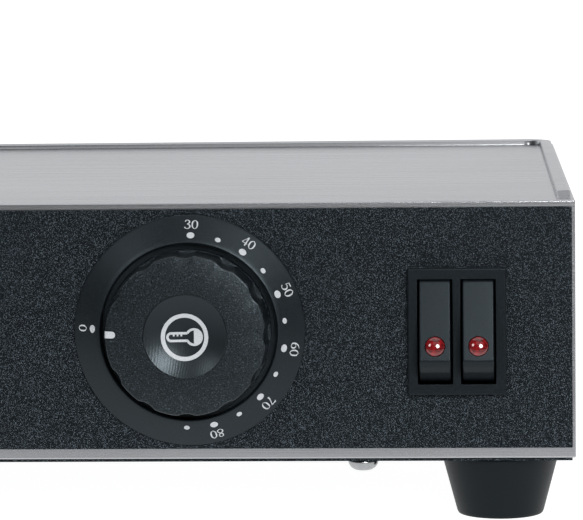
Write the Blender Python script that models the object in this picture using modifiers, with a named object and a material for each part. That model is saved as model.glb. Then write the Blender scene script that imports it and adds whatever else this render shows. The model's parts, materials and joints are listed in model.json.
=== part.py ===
"""Thermostatic benchtop hot plate: a low steel box with a heated flat top.

Frame: +X to the right, +Y to the back, +Z up. The origin is on the bench, under the middle of the object.
Depths behind the steel front wall are given by depth(), heights on the front panel grow towards the user.
"""

import math

import bmesh
import bpy
from mathutils import Matrix, Vector

MM = 0.001
GAP = 0.3 * MM  # kept between pieces that touch
MERGE = 0.00001

# Case
WIDTH = 400 * MM
DEPTH = 266 * MM
TOP_Z = 95.4 * MM
SHELL_BASE_Z = 19.5 * MM
SHEET = 1.0 * MM
BEND_RADIUS = 1.4 * MM
FLANGE = 14 * MM
RIM_RADIUS = 2.0 * MM
RIM_Z = TOP_Z - 0.1 * MM  # the bead's middle, so that it is widest just under the top
RIM_INSET = 3.0 * MM
COVER_SHEET = 0.6 * MM
COVER_TOP_Z = SHELL_BASE_Z - GAP
COVER_BASE_Z = COVER_TOP_Z - COVER_SHEET
SHEET_CUT = 8 * MM  # length of the cutters that pierce sheets
REAR_SLOTS = 9
REAR_SLOT_PITCH = 9 * MM
REAR_SLOT_SIZE = (3 * MM, SHEET_CUT, 22 * MM)
REAR_SLOT_Z = 50 * MM
BASE_SLOTS = 12
BASE_SLOT_PITCH = 12 * MM
BASE_SLOT_SIZE = (4 * MM, 60 * MM, SHEET_CUT)

# Control panel
PANEL_THICKNESS = 0.8 * MM
PANEL_OUT = PANEL_THICKNESS + GAP
PANEL_BASE_Z = 22.7 * MM
PANEL_TOP_Z = 93.6 * MM
CONTROL_Z = 58 * MM
DIAL_HOLE = 19.5 * MM
SHAFT_HOLE = 5 * MM

# Dial
DIAL_X = 87 * MM
BEZEL_RADIUS = 34 * MM
BEZEL_BORE = 25.9 * MM
BEZEL_HEIGHT = 4.9 * MM
BEZEL_FLOOR = 1.3 * MM
KNOB_RADIUS = 24.25 * MM
KNOB_HEIGHT = 16 * MM
FLUTES = 12
FLUTE_RADIUS = 6 * MM
FLUTE_DEPTH = 0.75 * MM
CAP_RADIUS = 12.2 * MM
DISH_DEPTH = 2.6 * MM
CAP_TOP = KNOB_HEIGHT + 0.2 * MM
CAP_SEAT = 11.6 * MM
KNOB_CEILING = 10.2 * MM  # of the hollow under the knob
SHAFT_RADIUS = 3 * MM
HUB_RADIUS = 6 * MM
HUB_END = 3 * MM

# Twin rocker switch
SWITCH_X = 165.3 * MM
SWITCH_Z = CONTROL_Z - 0.7 * MM
SWITCH_WIDTH = 28.4 * MM
SWITCH_HEIGHT = 36.8 * MM
SWITCH_FRAME = 2.0 * MM
SWITCH_BODY_WIDTH = 26.8 * MM
SWITCH_BODY_HEIGHT = 35.4 * MM
SWITCH_BODY_DEPTH = 26 * MM
ROCKER_PITCH = 12.6 * MM
ROCKER_WIDTH = 9.1 * MM
ROCKER_TILT = math.radians(16)
ROCKER_FACE_HALF = 11.86 * MM
ROCKER_FACE_OUT = 12.7 * MM
PIVOT_DEPTH = 9.2 * MM  # from the frame's face to the pivot
OPENING_WIDTH = 10.2 * MM
OPENING_HEIGHT = 30.9 * MM
POCKET_HEIGHT = 33.8 * MM
POCKET_DEPTH = 18.5 * MM
LENS_RADIUS = 2.85 * MM
LENS_LOW = 7.4 * MM
LENS_RISE = 1.2 * MM
TERMINAL_SIZE = (0.8 * MM, 9 * MM, 6.3 * MM)
TERMINAL_Z = 8 * MM

# Thermostat behind the dial
THERMOSTAT_WIDTH = 24 * MM
THERMOSTAT_DEPTH = 26 * MM
THERMOSTAT_HEIGHT = 36 * MM
THERMOSTAT_SCREW_X = 14 * MM
THERMOSTAT_HOLE = 1.9 * MM
BRACKET_SHEET = 1.5 * MM
BRACKET_WIDTH = 40 * MM
BRACKET_HEIGHT = 26 * MM

# Feet and fasteners
FOOT_TOP_RADIUS = 17.5 * MM
FOOT_BASE_RADIUS = 12.7 * MM
FOOT_RECESS_RADIUS = 5 * MM
FOOT_RECESS = 9 * MM
FOOT_BORE = 2.3 * MM
SHANK_RADIUS = 1.9 * MM
SCREW_HOLE = 2.2 * MM
FOOT_X = 177.9 * MM
FOOT_INSET = 20 * MM
FOOT_SCREW_LENGTH = 17 * MM
COVER_SCREW_LENGTH = 8 * MM
FRONT_SCREW_X = 137.3 * MM
REAR_SCREW_X = 116 * MM
COVER_SCREW_INSET = 6.5 * MM

# Heating
PLATE_THICKNESS = 3 * MM
PLATE_WIDTH = 372 * MM
PLATE_FRONT = 48 * MM
PLATE_BACK = 256 * MM
FIRST_LEG = PLATE_FRONT + 20 * MM
ELEMENT_RADIUS = 3.25 * MM
ELEMENT_LEGS = 6
ELEMENT_PITCH = 33 * MM
ELEMENT_HALF_WIDTH = 165 * MM
TAIL_FRONT = 40 * MM
TAIL_BEND = 8 * MM
LIVE_TAIL_X = -147 * MM
NEUTRAL_TAIL_X = -175 * MM
CLAMP_X = 80 * MM
CLAMP_SHEET = 1.2 * MM
BLANKET_THICKNESS = 10 * MM
BLANKET_INSET = 4 * MM
SHIELD_BASE_Z = 68 * MM
SHIELD_TOP_Z = 79 * MM
STANDOFF_X = 150 * MM
STANDOFF_INSET = 76 * MM
STANDOFF_RADIUS = 3.5 * MM
BULB_X = 20 * MM
BULB_RADIUS = 3 * MM
BULB_HALF_LENGTH = 40 * MM
CAPILLARY_RADIUS = 0.8 * MM
CUTOUT_HEIGHT = 5 * MM

# Mains inlet
INLET_X = 140 * MM
INLET_Z = 54 * MM
INLET_FLANGE = 2.5 * MM
INLET_FLANGE_WIDTH = 50 * MM
INLET_FLANGE_HEIGHT = 24 * MM
INLET_BODY_WIDTH = 27 * MM
INLET_BODY_HEIGHT = 20 * MM
INLET_BODY_DEPTH = 19 * MM
SOCKET_WIDTH = 23.6 * MM
SOCKET_HEIGHT = 16 * MM
SOCKET_DEPTH = 18 * MM
INLET_SCREW_X = 20 * MM
INLET_SCREW_HEAD = 1.7 * MM
INLET_HOLE = 1.8 * MM
PIN_SIZE = (2 * MM, 24 * MM, 4 * MM)
PIN_PITCH = 7 * MM
PIN_Z = INLET_Z + 1 * MM
EARTH_PIN_Z = INLET_Z + 4 * MM
PIN_INSIDE = 3 * MM  # from the socket's floor to the pin's middle

# Wiring
WIRE_RADIUS = 1.1 * MM
BLOCK_SIZE = (16 * MM, 30 * MM, 14 * MM)
BLOCK_PLACE = (100 * MM, 150 * MM)  # X, and depth behind the front wall
STUD_PLACE = (110 * MM, 224 * MM)
STUD_HEIGHT = 12 * MM

# The origin lies under the middle of everything between the knob's face and the inlet's screw heads.
FRONT_OUT = PANEL_OUT + CAP_TOP
REAR_OUT = 2 * GAP + INLET_FLANGE + INLET_SCREW_HEAD
FRONT_Y = FRONT_OUT - (FRONT_OUT + DEPTH + REAR_OUT) / 2
BACK_Y = FRONT_Y + DEPTH
PANEL_Y = FRONT_Y - PANEL_OUT
PLATE_TOP_Z = TOP_Z - SHEET - GAP
PLATE_BASE_Z = PLATE_TOP_Z - PLATE_THICKNESS
ELEMENT_Z = PLATE_BASE_Z - GAP - ELEMENT_RADIUS

MATERIALS = {
    "brushed_steel": ((0.46, 0.47, 0.49), 0.34, 1.0),
    "zinc_steel": ((0.42, 0.43, 0.44), 0.42, 1.0),
    "screw_steel": ((0.60, 0.61, 0.62), 0.25, 1.0),
    "aluminium": ((0.66, 0.67, 0.68), 0.40, 1.0),
    "brass": ((0.72, 0.55, 0.28), 0.32, 1.0),
    "copper": ((0.72, 0.40, 0.26), 0.35, 1.0),
    "textured_black": ((0.022, 0.027, 0.031), 0.55, 0.0),
    "satin_black": ((0.024, 0.028, 0.031), 0.38, 0.0),
    "rubber_black": ((0.020, 0.023, 0.026), 0.62, 0.0),
    "red_lens": ((0.42, 0.012, 0.015), 0.10, 0.0),
    "ceramic_fibre": ((0.86, 0.84, 0.78), 0.95, 0.0),
    "phenolic": ((0.035, 0.030, 0.028), 0.50, 0.0),
    "brown_wire": ((0.16, 0.065, 0.025), 0.45, 0.0),
    "blue_wire": ((0.03, 0.11, 0.38), 0.45, 0.0),
    "green_wire": ((0.10, 0.33, 0.06), 0.45, 0.0),
    "red_wire": ((0.40, 0.02, 0.02), 0.45, 0.0),
}

FACING_USER = Matrix.Rotation(math.pi / 2, 4, "X")  # local +Z points to -Y
FACING_BACK = Matrix.Rotation(-math.pi / 2, 4, "X")
FACING_DOWN = Matrix.Rotation(math.pi, 4, "X")
UPRIGHT = Matrix.Identity(4)


def clear_scene():
    for thing in list(bpy.data.objects):
        bpy.data.objects.remove(thing, do_unlink=True)


def make_collection(name):
    collection = bpy.data.collections.new(name)
    bpy.context.scene.collection.children.link(collection)
    return collection


def make_materials():
    for name, (colour, roughness, metallic) in MATERIALS.items():
        material = bpy.data.materials.new(name)
        material.use_nodes = True
        shader = material.node_tree.nodes["Principled BSDF"]
        shader.inputs["Base Color"].default_value = (*colour, 1.0)
        shader.inputs["Roughness"].default_value = roughness
        shader.inputs["Metallic"].default_value = metallic
        material.diffuse_color = (*colour, 1.0)


clear_scene()
PARTS = make_collection("hot_plate")
CUTTERS = make_collection("cutters")
make_materials()


def depth(distance):
    """The Y that lies this far behind the outer face of the steel front wall."""
    return FRONT_Y + distance


def add_part(name, data, material, place=(0, 0, 0), turn=UPRIGHT, parent=None):
    part = bpy.data.objects.new(name, data)
    PARTS.objects.link(part)
    if not data.materials:
        data.materials.append(bpy.data.materials[material])
    part.matrix_local = Matrix.Translation(place) @ turn
    part.parent = parent
    return part


def add_cutter(name, data, place=(0, 0, 0), turn=UPRIGHT, parent=None):
    cutter = bpy.data.objects.new(name, data)
    CUTTERS.objects.link(cutter)
    cutter.matrix_local = Matrix.Translation(place) @ turn
    cutter.parent = parent
    cutter.hide_render = True
    cutter.display_type = "WIRE"
    return cutter


def add_axis(name, place, turn=UPRIGHT):
    """An empty on a joint's axis, which carries the pieces that move."""
    empty = bpy.data.objects.new(name, None)
    PARTS.objects.link(empty)
    empty.matrix_local = Matrix.Translation(place) @ turn
    return empty


def boolean(part, other, operation="DIFFERENCE"):
    modifier = part.modifiers.new(f"{operation.lower()}_{other.name}", "BOOLEAN")
    modifier.operation = operation
    modifier.object = other
    modifier.solver = "EXACT"


def bevel(part, width, segments=2, angle=40):
    modifier = part.modifiers.new("bevel", "BEVEL")
    modifier.width = width
    modifier.segments = segments
    modifier.limit_method = "ANGLE"
    modifier.angle_limit = math.radians(angle)


def mesh_from(name, shape):
    data = bpy.data.meshes.new(name)
    shape.to_mesh(data)
    shape.free()
    return data


def box_mesh(name, size_x, size_y, size_z):
    shape = bmesh.new()
    bmesh.ops.create_cube(shape, size=1)
    bmesh.ops.scale(shape, vec=(size_x, size_y, size_z), verts=shape.verts)
    return mesh_from(name, shape)


def boxes_mesh(name, size, places):
    """Equal boxes that stand apart, as one cutter."""
    shape = bmesh.new()
    for place in places:
        made = bmesh.ops.create_cube(shape, size=1)["verts"]
        bmesh.ops.scale(shape, vec=size, verts=made)
        bmesh.ops.translate(shape, vec=place, verts=made)
    return mesh_from(name, shape)


def rods_mesh(name, radius, length, places, sides=24):
    """Equal cylinders along Z that stand apart, each centred on its place."""
    shape = bmesh.new()
    for place in places:
        bmesh.ops.create_cone(
            shape,
            cap_ends=True,
            segments=sides,
            radius1=radius,
            radius2=radius,
            depth=length,
            matrix=Matrix.Translation(place),
        )
    return mesh_from(name, shape)


def turned_mesh(name, profile, closed=False):
    """An outline of (radius, height) points that a Screw modifier will turn about Z."""
    data = bpy.data.meshes.new(name)
    edges = [(i, i + 1) for i in range(len(profile) - 1)]
    if closed:
        edges.append((len(profile) - 1, 0))
    data.from_pydata([(radius, 0, height) for radius, height in profile], edges, [])
    return data


def turn_profile(part, steps):
    screw = part.modifiers.new("turn", "SCREW")
    screw.axis = "Z"
    screw.steps = steps
    screw.render_steps = steps
    screw.use_merge_vertices = True
    screw.merge_threshold = MERGE
    screw.use_smooth_shade = True


def turned(name, profile, material, place, turn, steps=32, closed=False, parent=None):
    part = add_part(name, turned_mesh(name, profile, closed), material, place, turn, parent)
    turn_profile(part, steps)
    return part


def arc_points(centre, radius, start, end, count):
    """Points on an arc, with angles in degrees."""
    angles = [math.radians(start + (end - start) * i / (count - 1)) for i in range(count)]
    return [(centre[0] + radius * math.cos(a), centre[1] + radius * math.sin(a)) for a in angles]


def prism_mesh(name, outline, thickness):
    """An outline of (y, z) points given a thickness along X."""
    shape = bmesh.new()
    corners = [shape.verts.new((-thickness / 2, y, z)) for y, z in outline]
    face = shape.faces.new(corners)
    swept = bmesh.ops.extrude_face_region(shape, geom=[face])["geom"]
    moved = [item for item in swept if isinstance(item, bmesh.types.BMVert)]
    bmesh.ops.translate(shape, vec=(thickness, 0, 0), verts=moved)
    bmesh.ops.recalc_face_normals(shape, faces=shape.faces)
    return mesh_from(name, shape)


def smooth_route(points, per_span=5):
    """A Catmull-Rom curve through the route's points."""
    knots = [Vector(p) for p in points]
    knots = [2 * knots[0] - knots[1], *knots, 2 * knots[-1] - knots[-2]]
    path = []
    for i in range(1, len(knots) - 2):
        before, start, end, after = knots[i - 1 : i + 3]
        for step in range(per_span):
            t = step / per_span
            linear = (end - before) * t
            square = (2 * before - 5 * start + 4 * end - after) * t * t
            cube = (3 * start - before - 3 * end + after) * t**3
            path.append(start + (linear + square + cube) / 2)
    path.append(knots[-2])
    return path


def tube_curve(name, path, radius):
    data = bpy.data.curves.new(name, "CURVE")
    data.dimensions = "3D"
    data.bevel_depth = radius
    data.bevel_resolution = 2
    data.use_fill_caps = True
    spline = data.splines.new("POLY")
    spline.points.add(len(path) - 1)
    for point, where in zip(spline.points, path):
        point.co = (*where, 1)
    return data


def tube(name, path, radius, material):
    return add_part(name, tube_curve(name, path, radius), material)


def wire(name, points, material, radius=WIRE_RADIUS):
    return tube(name, smooth_route(points), radius, material)


def tube_as_mesh(name, path, radius):
    """A tube whose caps are welded on, fit for a Boolean."""
    curve_object = bpy.data.objects.new(name, tube_curve(name, path, radius))
    CUTTERS.objects.link(curve_object)
    bpy.context.view_layer.update()
    graph = bpy.context.evaluated_depsgraph_get()
    data = bpy.data.meshes.new_from_object(curve_object.evaluated_get(graph))
    bpy.data.objects.remove(curve_object, do_unlink=True)
    shape = bmesh.new()
    shape.from_mesh(data)
    bmesh.ops.remove_doubles(shape, verts=shape.verts, dist=MERGE)
    shape.to_mesh(data)
    shape.free()
    return data


def screw_profile(head_radius, head_height, shank_radius, shank_length):
    """A pan head above Z = 0 and its shank below, cut straight at the end."""
    crown = arc_points((head_radius * 0.62, head_height * 0.35), head_height * 0.65, 90, 10, 4)
    head = [(0, head_height), *crown, (head_radius, head_height * 0.3), (head_radius, 0)]
    shank = [(shank_radius, 0), (shank_radius, -shank_length), (0, -shank_length)]
    return head + shank


def corner_places(front_x, rear_x, inset):
    """Four (x, y) places by corner, this far in from the front and from the back."""
    places = {}
    for row, x, y in (("front", front_x, FRONT_Y + inset), ("rear", rear_x, BACK_Y - inset)):
        places[f"{row}_left"] = (-x, y)
        places[f"{row}_right"] = (x, y)
    return places


FOOT_PLACES = corner_places(FOOT_X, FOOT_X, FOOT_INSET)
COVER_SCREW_PLACES = corner_places(FRONT_SCREW_X, REAR_SCREW_X, COVER_SCREW_INSET)


def make_cover_holes():
    """Clearance holes for the feet's and the cover's screws."""
    foot = [(x, y, COVER_TOP_Z) for x, y in FOOT_PLACES.values()]
    cover = [(x, y, COVER_TOP_Z) for x, y in COVER_SCREW_PLACES.values()]
    return add_cutter("screw_holes", rods_mesh("screw_holes", SCREW_HOLE, SHEET_CUT, foot + cover, 16))


def make_vent_slots(name, count, pitch, size, centre):
    first = centre[0] - pitch * (count - 1) / 2
    places = [(first + pitch * i, centre[1], centre[2]) for i in range(count)]
    return add_cutter(name, boxes_mesh(name, size, places))


def make_top_shell(screw_holes):
    """Folded cover: top, four walls and an inward flange, then openings and the raised rim."""
    shape = bmesh.new()
    bmesh.ops.create_cube(shape, size=1)
    bmesh.ops.scale(shape, vec=(WIDTH, DEPTH, TOP_Z - SHELL_BASE_Z), verts=shape.verts)
    base = min(shape.faces, key=lambda face: face.calc_center_median().z)
    bmesh.ops.inset_region(shape, faces=[base], thickness=FLANGE)
    bmesh.ops.delete(shape, geom=[base], context="FACES")
    folds = [e for e in shape.edges if not e.is_boundary and e.calc_face_angle() > 1]
    bmesh.ops.bevel(shape, geom=folds, offset=BEND_RADIUS, segments=3, profile=0.5, affect="EDGES")
    middle = ((FRONT_Y + BACK_Y) / 2, (TOP_Z + SHELL_BASE_Z) / 2)
    shell = add_part("top_shell", mesh_from("top_shell", shape), "brushed_steel", (0, *middle))
    sheet = shell.modifiers.new("sheet", "SOLIDIFY")
    sheet.thickness = SHEET
    sheet.offset = -1
    sheet.use_even_offset = True
    boolean(shell, make_rim(), "UNION")
    boolean(shell, screw_holes)
    for cutter in make_front_cutouts() + make_rear_cutouts():
        boolean(shell, cutter)
    return shell


def make_rim():
    """A rounded bead that rises along both sides and the back of the top."""
    side = WIDTH / 2 - RIM_INSET
    rear = BACK_Y - RIM_INSET
    front = FRONT_Y + 2 * RIM_INSET
    turn = 8 * MM
    right = arc_points((side - turn, rear - turn), turn, 0, 90, 5)
    left = arc_points((turn - side, rear - turn), turn, 90, 180, 5)
    outline = [(side, front), *right, *left, (-side, front)]
    path = [(x, y, RIM_Z) for x, y in outline]
    return add_cutter("rim_bead", tube_as_mesh("rim_bead", path, RIM_RADIUS))


def make_front_cutouts():
    """Holes for the thermostat's shaft, its screws and the switch."""
    shaft = rods_mesh("shaft_hole", SHAFT_HOLE, SHEET_CUT, [(0, 0, 0)])
    places = [(-THERMOSTAT_SCREW_X, 0, 0), (THERMOSTAT_SCREW_X, 0, 0)]
    screws = rods_mesh("thermostat_holes", THERMOSTAT_HOLE, SHEET_CUT, places, 12)
    opening_x = SWITCH_BODY_WIDTH + 2 * GAP
    opening_z = SWITCH_BODY_HEIGHT + 2 * GAP
    switch = box_mesh("switch_cutout", opening_x, SHEET_CUT, opening_z)
    dial = (DIAL_X, FRONT_Y, CONTROL_Z)
    return [
        add_cutter("shaft_hole", shaft, dial, FACING_USER),
        add_cutter("thermostat_holes", screws, dial, FACING_USER),
        add_cutter("switch_cutout", switch, (SWITCH_X, FRONT_Y, SWITCH_Z)),
    ]


def make_rear_cutouts():
    """The inlet's cut-out, its screw holes and the vent slots beside it."""
    size_x = INLET_BODY_WIDTH + 2 * GAP
    size_z = INLET_BODY_HEIGHT + 2 * GAP
    inlet = box_mesh("inlet_cutout", size_x, SHEET_CUT, size_z)
    place = (INLET_X, BACK_Y, INLET_Z)
    screw_places = [(-INLET_SCREW_X, 0, 0), (INLET_SCREW_X, 0, 0)]
    screws = rods_mesh("inlet_holes", INLET_HOLE, SHEET_CUT, screw_places, 12)
    slots_centre = (0, BACK_Y, REAR_SLOT_Z)
    return [
        add_cutter("inlet_cutout", inlet, place),
        add_cutter("inlet_holes", screws, place, FACING_BACK),
        make_vent_slots("rear_slots", REAR_SLOTS, REAR_SLOT_PITCH, REAR_SLOT_SIZE, slots_centre),
    ]


def make_control_panel():
    height = PANEL_TOP_Z - PANEL_BASE_Z
    data = box_mesh("control_panel", WIDTH - 2 * MM, PANEL_THICKNESS, height)
    place = (0, PANEL_Y + PANEL_THICKNESS / 2, (PANEL_TOP_Z + PANEL_BASE_Z) / 2)
    panel = add_part("control_panel", data, "textured_black", place)
    dial_hole = rods_mesh("dial_hole", DIAL_HOLE, SHEET_CUT, [(0, 0, 0)], 40)
    boolean(panel, add_cutter("dial_hole", dial_hole, (DIAL_X, PANEL_Y, CONTROL_Z), FACING_USER))
    boolean(panel, bpy.data.objects["switch_cutout"])
    return panel


def make_bottom_cover(screw_holes):
    data = box_mesh("bottom_cover", WIDTH - 2 * MM, DEPTH - 2 * MM, COVER_SHEET)
    centre_z = (COVER_TOP_Z + COVER_BASE_Z) / 2
    cover = add_part("bottom_cover", data, "textured_black", (0, (FRONT_Y + BACK_Y) / 2, centre_z))
    boolean(cover, screw_holes)
    slots_centre = (0, 0, centre_z)
    boolean(cover, make_vent_slots("base_slots", BASE_SLOTS, BASE_SLOT_PITCH, BASE_SLOT_SIZE, slots_centre))
    return cover


def make_feet():
    """Tapered rubber feet with a recess for the screw's head, and the screws."""
    height = COVER_BASE_Z - GAP
    taper = [(FOOT_TOP_RADIUS, height), (FOOT_BASE_RADIUS, 0.6 * MM)]
    base = [(FOOT_BASE_RADIUS - 0.6 * MM, 0), (FOOT_RECESS_RADIUS, 0), (FOOT_RECESS_RADIUS, FOOT_RECESS)]
    bore = [(FOOT_BORE, FOOT_RECESS), (FOOT_BORE, height)]
    head = screw_profile(4.2 * MM, 2.8 * MM, SHANK_RADIUS, FOOT_SCREW_LENGTH)
    for corner, (x, y) in FOOT_PLACES.items():
        profile = taper + base + bore
        turned(f"foot_{corner}", profile, "rubber_black", (x, y, 0), UPRIGHT, 28, closed=True)
        seat = (x, y, FOOT_RECESS - GAP)
        turned(f"foot_screw_{corner}", head, "screw_steel", seat, FACING_DOWN, 14)


def make_cover_screws():
    profile = screw_profile(4.5 * MM, 3.3 * MM, SHANK_RADIUS, COVER_SCREW_LENGTH)
    for corner, (x, y) in COVER_SCREW_PLACES.items():
        seat = (x, y, COVER_BASE_Z - GAP)
        turned(f"cover_screw_{corner}", profile, "screw_steel", seat, FACING_DOWN, 18)


def element_path():
    """Straight legs across the plate joined by half circles, with both ends brought to the front."""
    first = depth(FIRST_LEG)
    last = first + (ELEMENT_LEGS - 1) * ELEMENT_PITCH
    turn = ELEMENT_PITCH / 2
    path = [(LIVE_TAIL_X, depth(TAIL_FRONT)), (LIVE_TAIL_X, first - TAIL_BEND)]
    path += arc_points((LIVE_TAIL_X + TAIL_BEND, first - TAIL_BEND), TAIL_BEND, 180, 90, 4)
    for leg in range(ELEMENT_LEGS - 1):
        side = 1 if leg % 2 == 0 else -1
        bend = arc_points((0, first + leg * ELEMENT_PITCH + turn), turn, -90, 90, 7)
        path += [(side * (ELEMENT_HALF_WIDTH - turn + bx), by) for bx, by in bend]
    path += arc_points((NEUTRAL_TAIL_X + TAIL_BEND, last - TAIL_BEND), TAIL_BEND, 90, 180, 4)
    path += [(NEUTRAL_TAIL_X, depth(TAIL_FRONT))]
    return [(x, y, ELEMENT_Z) for x, y in path]


def make_heating():
    middle = depth((PLATE_FRONT + PLATE_BACK) / 2)
    span = PLATE_BACK - PLATE_FRONT
    plate = box_mesh("heating_plate", PLATE_WIDTH, span, PLATE_THICKNESS)
    plate_z = PLATE_BASE_Z + PLATE_THICKNESS / 2
    add_part("heating_plate", plate, "aluminium", (0, middle, plate_z))
    tube("heating_element", element_path(), ELEMENT_RADIUS, "zinc_steel")
    clamp_z = ELEMENT_Z - ELEMENT_RADIUS - GAP - CLAMP_SHEET / 2
    for name, x in (("left", -CLAMP_X), ("right", CLAMP_X)):
        strap = box_mesh(f"element_clamp_{name}", 14 * MM, 190 * MM, CLAMP_SHEET)
        add_part(f"element_clamp_{name}", strap, "zinc_steel", (x, middle, clamp_z))
    blanket_size = (PLATE_WIDTH - 2 * BLANKET_INSET, span - 2 * BLANKET_INSET, BLANKET_THICKNESS)
    blanket = box_mesh("insulation_blanket", *blanket_size)
    blanket_z = SHIELD_BASE_Z + SHEET + GAP + BLANKET_THICKNESS / 2
    add_part("insulation_blanket", blanket, "ceramic_fibre", (0, middle, blanket_z))
    make_heat_shield(middle, span)
    cutout = [(0, CUTOUT_HEIGHT), (7.5 * MM, CUTOUT_HEIGHT), (8 * MM, 4.5 * MM), (8 * MM, -2 * MM)]
    cutout += [(5 * MM, -2 * MM), (5 * MM, -4 * MM), (0, -4 * MM)]
    place = (0, depth(FIRST_LEG + ELEMENT_PITCH * 1.5), PLATE_BASE_Z - GAP - CUTOUT_HEIGHT)
    turned("thermal_cutout", cutout, "phenolic", place, UPRIGHT, 20)


def make_heat_shield(middle, span):
    """An open tray under the blanket."""
    shape = bmesh.new()
    bmesh.ops.create_cube(shape, size=1)
    bmesh.ops.scale(shape, vec=(PLATE_WIDTH, span, SHIELD_TOP_Z - SHIELD_BASE_Z), verts=shape.verts)
    top = max(shape.faces, key=lambda face: face.calc_center_median().z)
    bmesh.ops.delete(shape, geom=[top], context="FACES_ONLY")
    centre_z = (SHIELD_TOP_Z + SHIELD_BASE_Z) / 2
    data = mesh_from("heat_shield", shape)
    shield = add_part("heat_shield", data, "zinc_steel", (0, middle, centre_z))
    sheet = shield.modifiers.new("sheet", "SOLIDIFY")
    sheet.thickness = SHEET
    sheet.offset = -1
    sheet.use_even_offset = True
    for corner, (x, y) in corner_places(STANDOFF_X, STANDOFF_X, STANDOFF_INSET).items():
        height = SHIELD_BASE_Z - COVER_TOP_Z - 2 * GAP
        post = rods_mesh(f"standoff_{corner}", STANDOFF_RADIUS, height, [(0, 0, 0)], 6)
        centre = (x, y, COVER_TOP_Z + GAP + height / 2)
        add_part(f"standoff_{corner}", post, "zinc_steel", centre)


def make_sensor():
    """The thermostat's sensing bulb under the plate, its clip and its capillary."""
    bulb_y = depth(FIRST_LEG + ELEMENT_PITCH / 2)
    bulb_z = PLATE_BASE_Z - GAP - BULB_RADIUS
    end = BULB_HALF_LENGTH
    bulb = [(0, end), (BULB_RADIUS - 1 * MM, end), (BULB_RADIUS, end - 2 * MM)]
    bulb += [(BULB_RADIUS, -end), (0, -end)]
    along = Matrix.Rotation(math.pi / 2, 4, "Y")
    turned("sensing_bulb", bulb, "copper", (BULB_X, bulb_y, bulb_z), along, 16)
    clip = box_mesh("bulb_clip", 12 * MM, 20 * MM, 1 * MM)
    add_part("bulb_clip", clip, "zinc_steel", (BULB_X, bulb_y, bulb_z - BULB_RADIUS - GAP - 0.5 * MM))
    first_leg = depth(FIRST_LEG)
    under_leg_z = ELEMENT_Z - ELEMENT_RADIUS - 2.2 * MM
    route = [
        (DIAL_X, depth(30 * MM), 68 * MM),
        (DIAL_X - 1 * MM, depth(36 * MM), 72 * MM),
        (DIAL_X - 14 * MM, depth(44 * MM), 80.6 * MM),
        (62 * MM, first_leg - 8 * MM, under_leg_z),
        (61 * MM, first_leg + 3 * MM, under_leg_z),
        (64 * MM, bulb_y - 4 * MM, bulb_z - 1.5 * MM),
        (64.5 * MM, bulb_y - 1.5 * MM, bulb_z - 0.5 * MM),
        (BULB_X + end + 2 * GAP, bulb_y, bulb_z),
    ]
    wire("capillary_tube", route, "copper", CAPILLARY_RADIUS)


def make_thermostat():
    """Body, bracket and two screws behind the dial."""
    body = box_mesh("thermostat_body", THERMOSTAT_WIDTH, THERMOSTAT_DEPTH, THERMOSTAT_HEIGHT)
    front = depth(SHEET + 2 * GAP + BRACKET_SHEET)
    place = (DIAL_X, front + THERMOSTAT_DEPTH / 2, CONTROL_Z)
    part = add_part("thermostat_body", body, "phenolic", place)
    bevel(part, 1.0 * MM)
    bore = rods_mesh("shaft_bore", SHAFT_RADIUS + GAP, 24 * MM, [(0, 0, 0)], 20)
    boolean(part, add_cutter("shaft_bore", bore, (DIAL_X, front, CONTROL_Z), FACING_USER))
    plate = box_mesh("thermostat_bracket", BRACKET_WIDTH, BRACKET_SHEET, BRACKET_HEIGHT)
    bracket_y = depth(SHEET + GAP) + BRACKET_SHEET / 2
    bracket = add_part("thermostat_bracket", plate, "zinc_steel", (DIAL_X, bracket_y, CONTROL_Z))
    boolean(bracket, bpy.data.objects["shaft_hole"])
    boolean(bracket, bpy.data.objects["thermostat_holes"])
    profile = screw_profile(3.2 * MM, 1.4 * MM, 1.6 * MM, 6 * MM)
    for side, offset in (("left", -THERMOSTAT_SCREW_X), ("right", THERMOSTAT_SCREW_X)):
        seat = (DIAL_X + offset, FRONT_Y - GAP, CONTROL_Z)
        turned(f"thermostat_screw_{side}", profile, "screw_steel", seat, FACING_USER, 14)


def make_dial_bezel():
    """A conical ring whose face carries the scale, with a low floor inside."""
    profile = [
        (26.3 * MM, BEZEL_HEIGHT),
        (27.2 * MM, BEZEL_HEIGHT - 0.4 * MM),
        (BEZEL_RADIUS - 0.5 * MM, 1.1 * MM),
        (BEZEL_RADIUS, 0.8 * MM),
        (BEZEL_RADIUS, GAP),
        (22.5 * MM, GAP),
        (22.5 * MM, BEZEL_FLOOR),
        (BEZEL_BORE, BEZEL_FLOOR),
        (BEZEL_BORE, BEZEL_HEIGHT - 0.3 * MM),
    ]
    place = (DIAL_X, PANEL_Y, CONTROL_Z)
    turned("dial_bezel", profile, "satin_black", place, FACING_USER, 72, closed=True)


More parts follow.
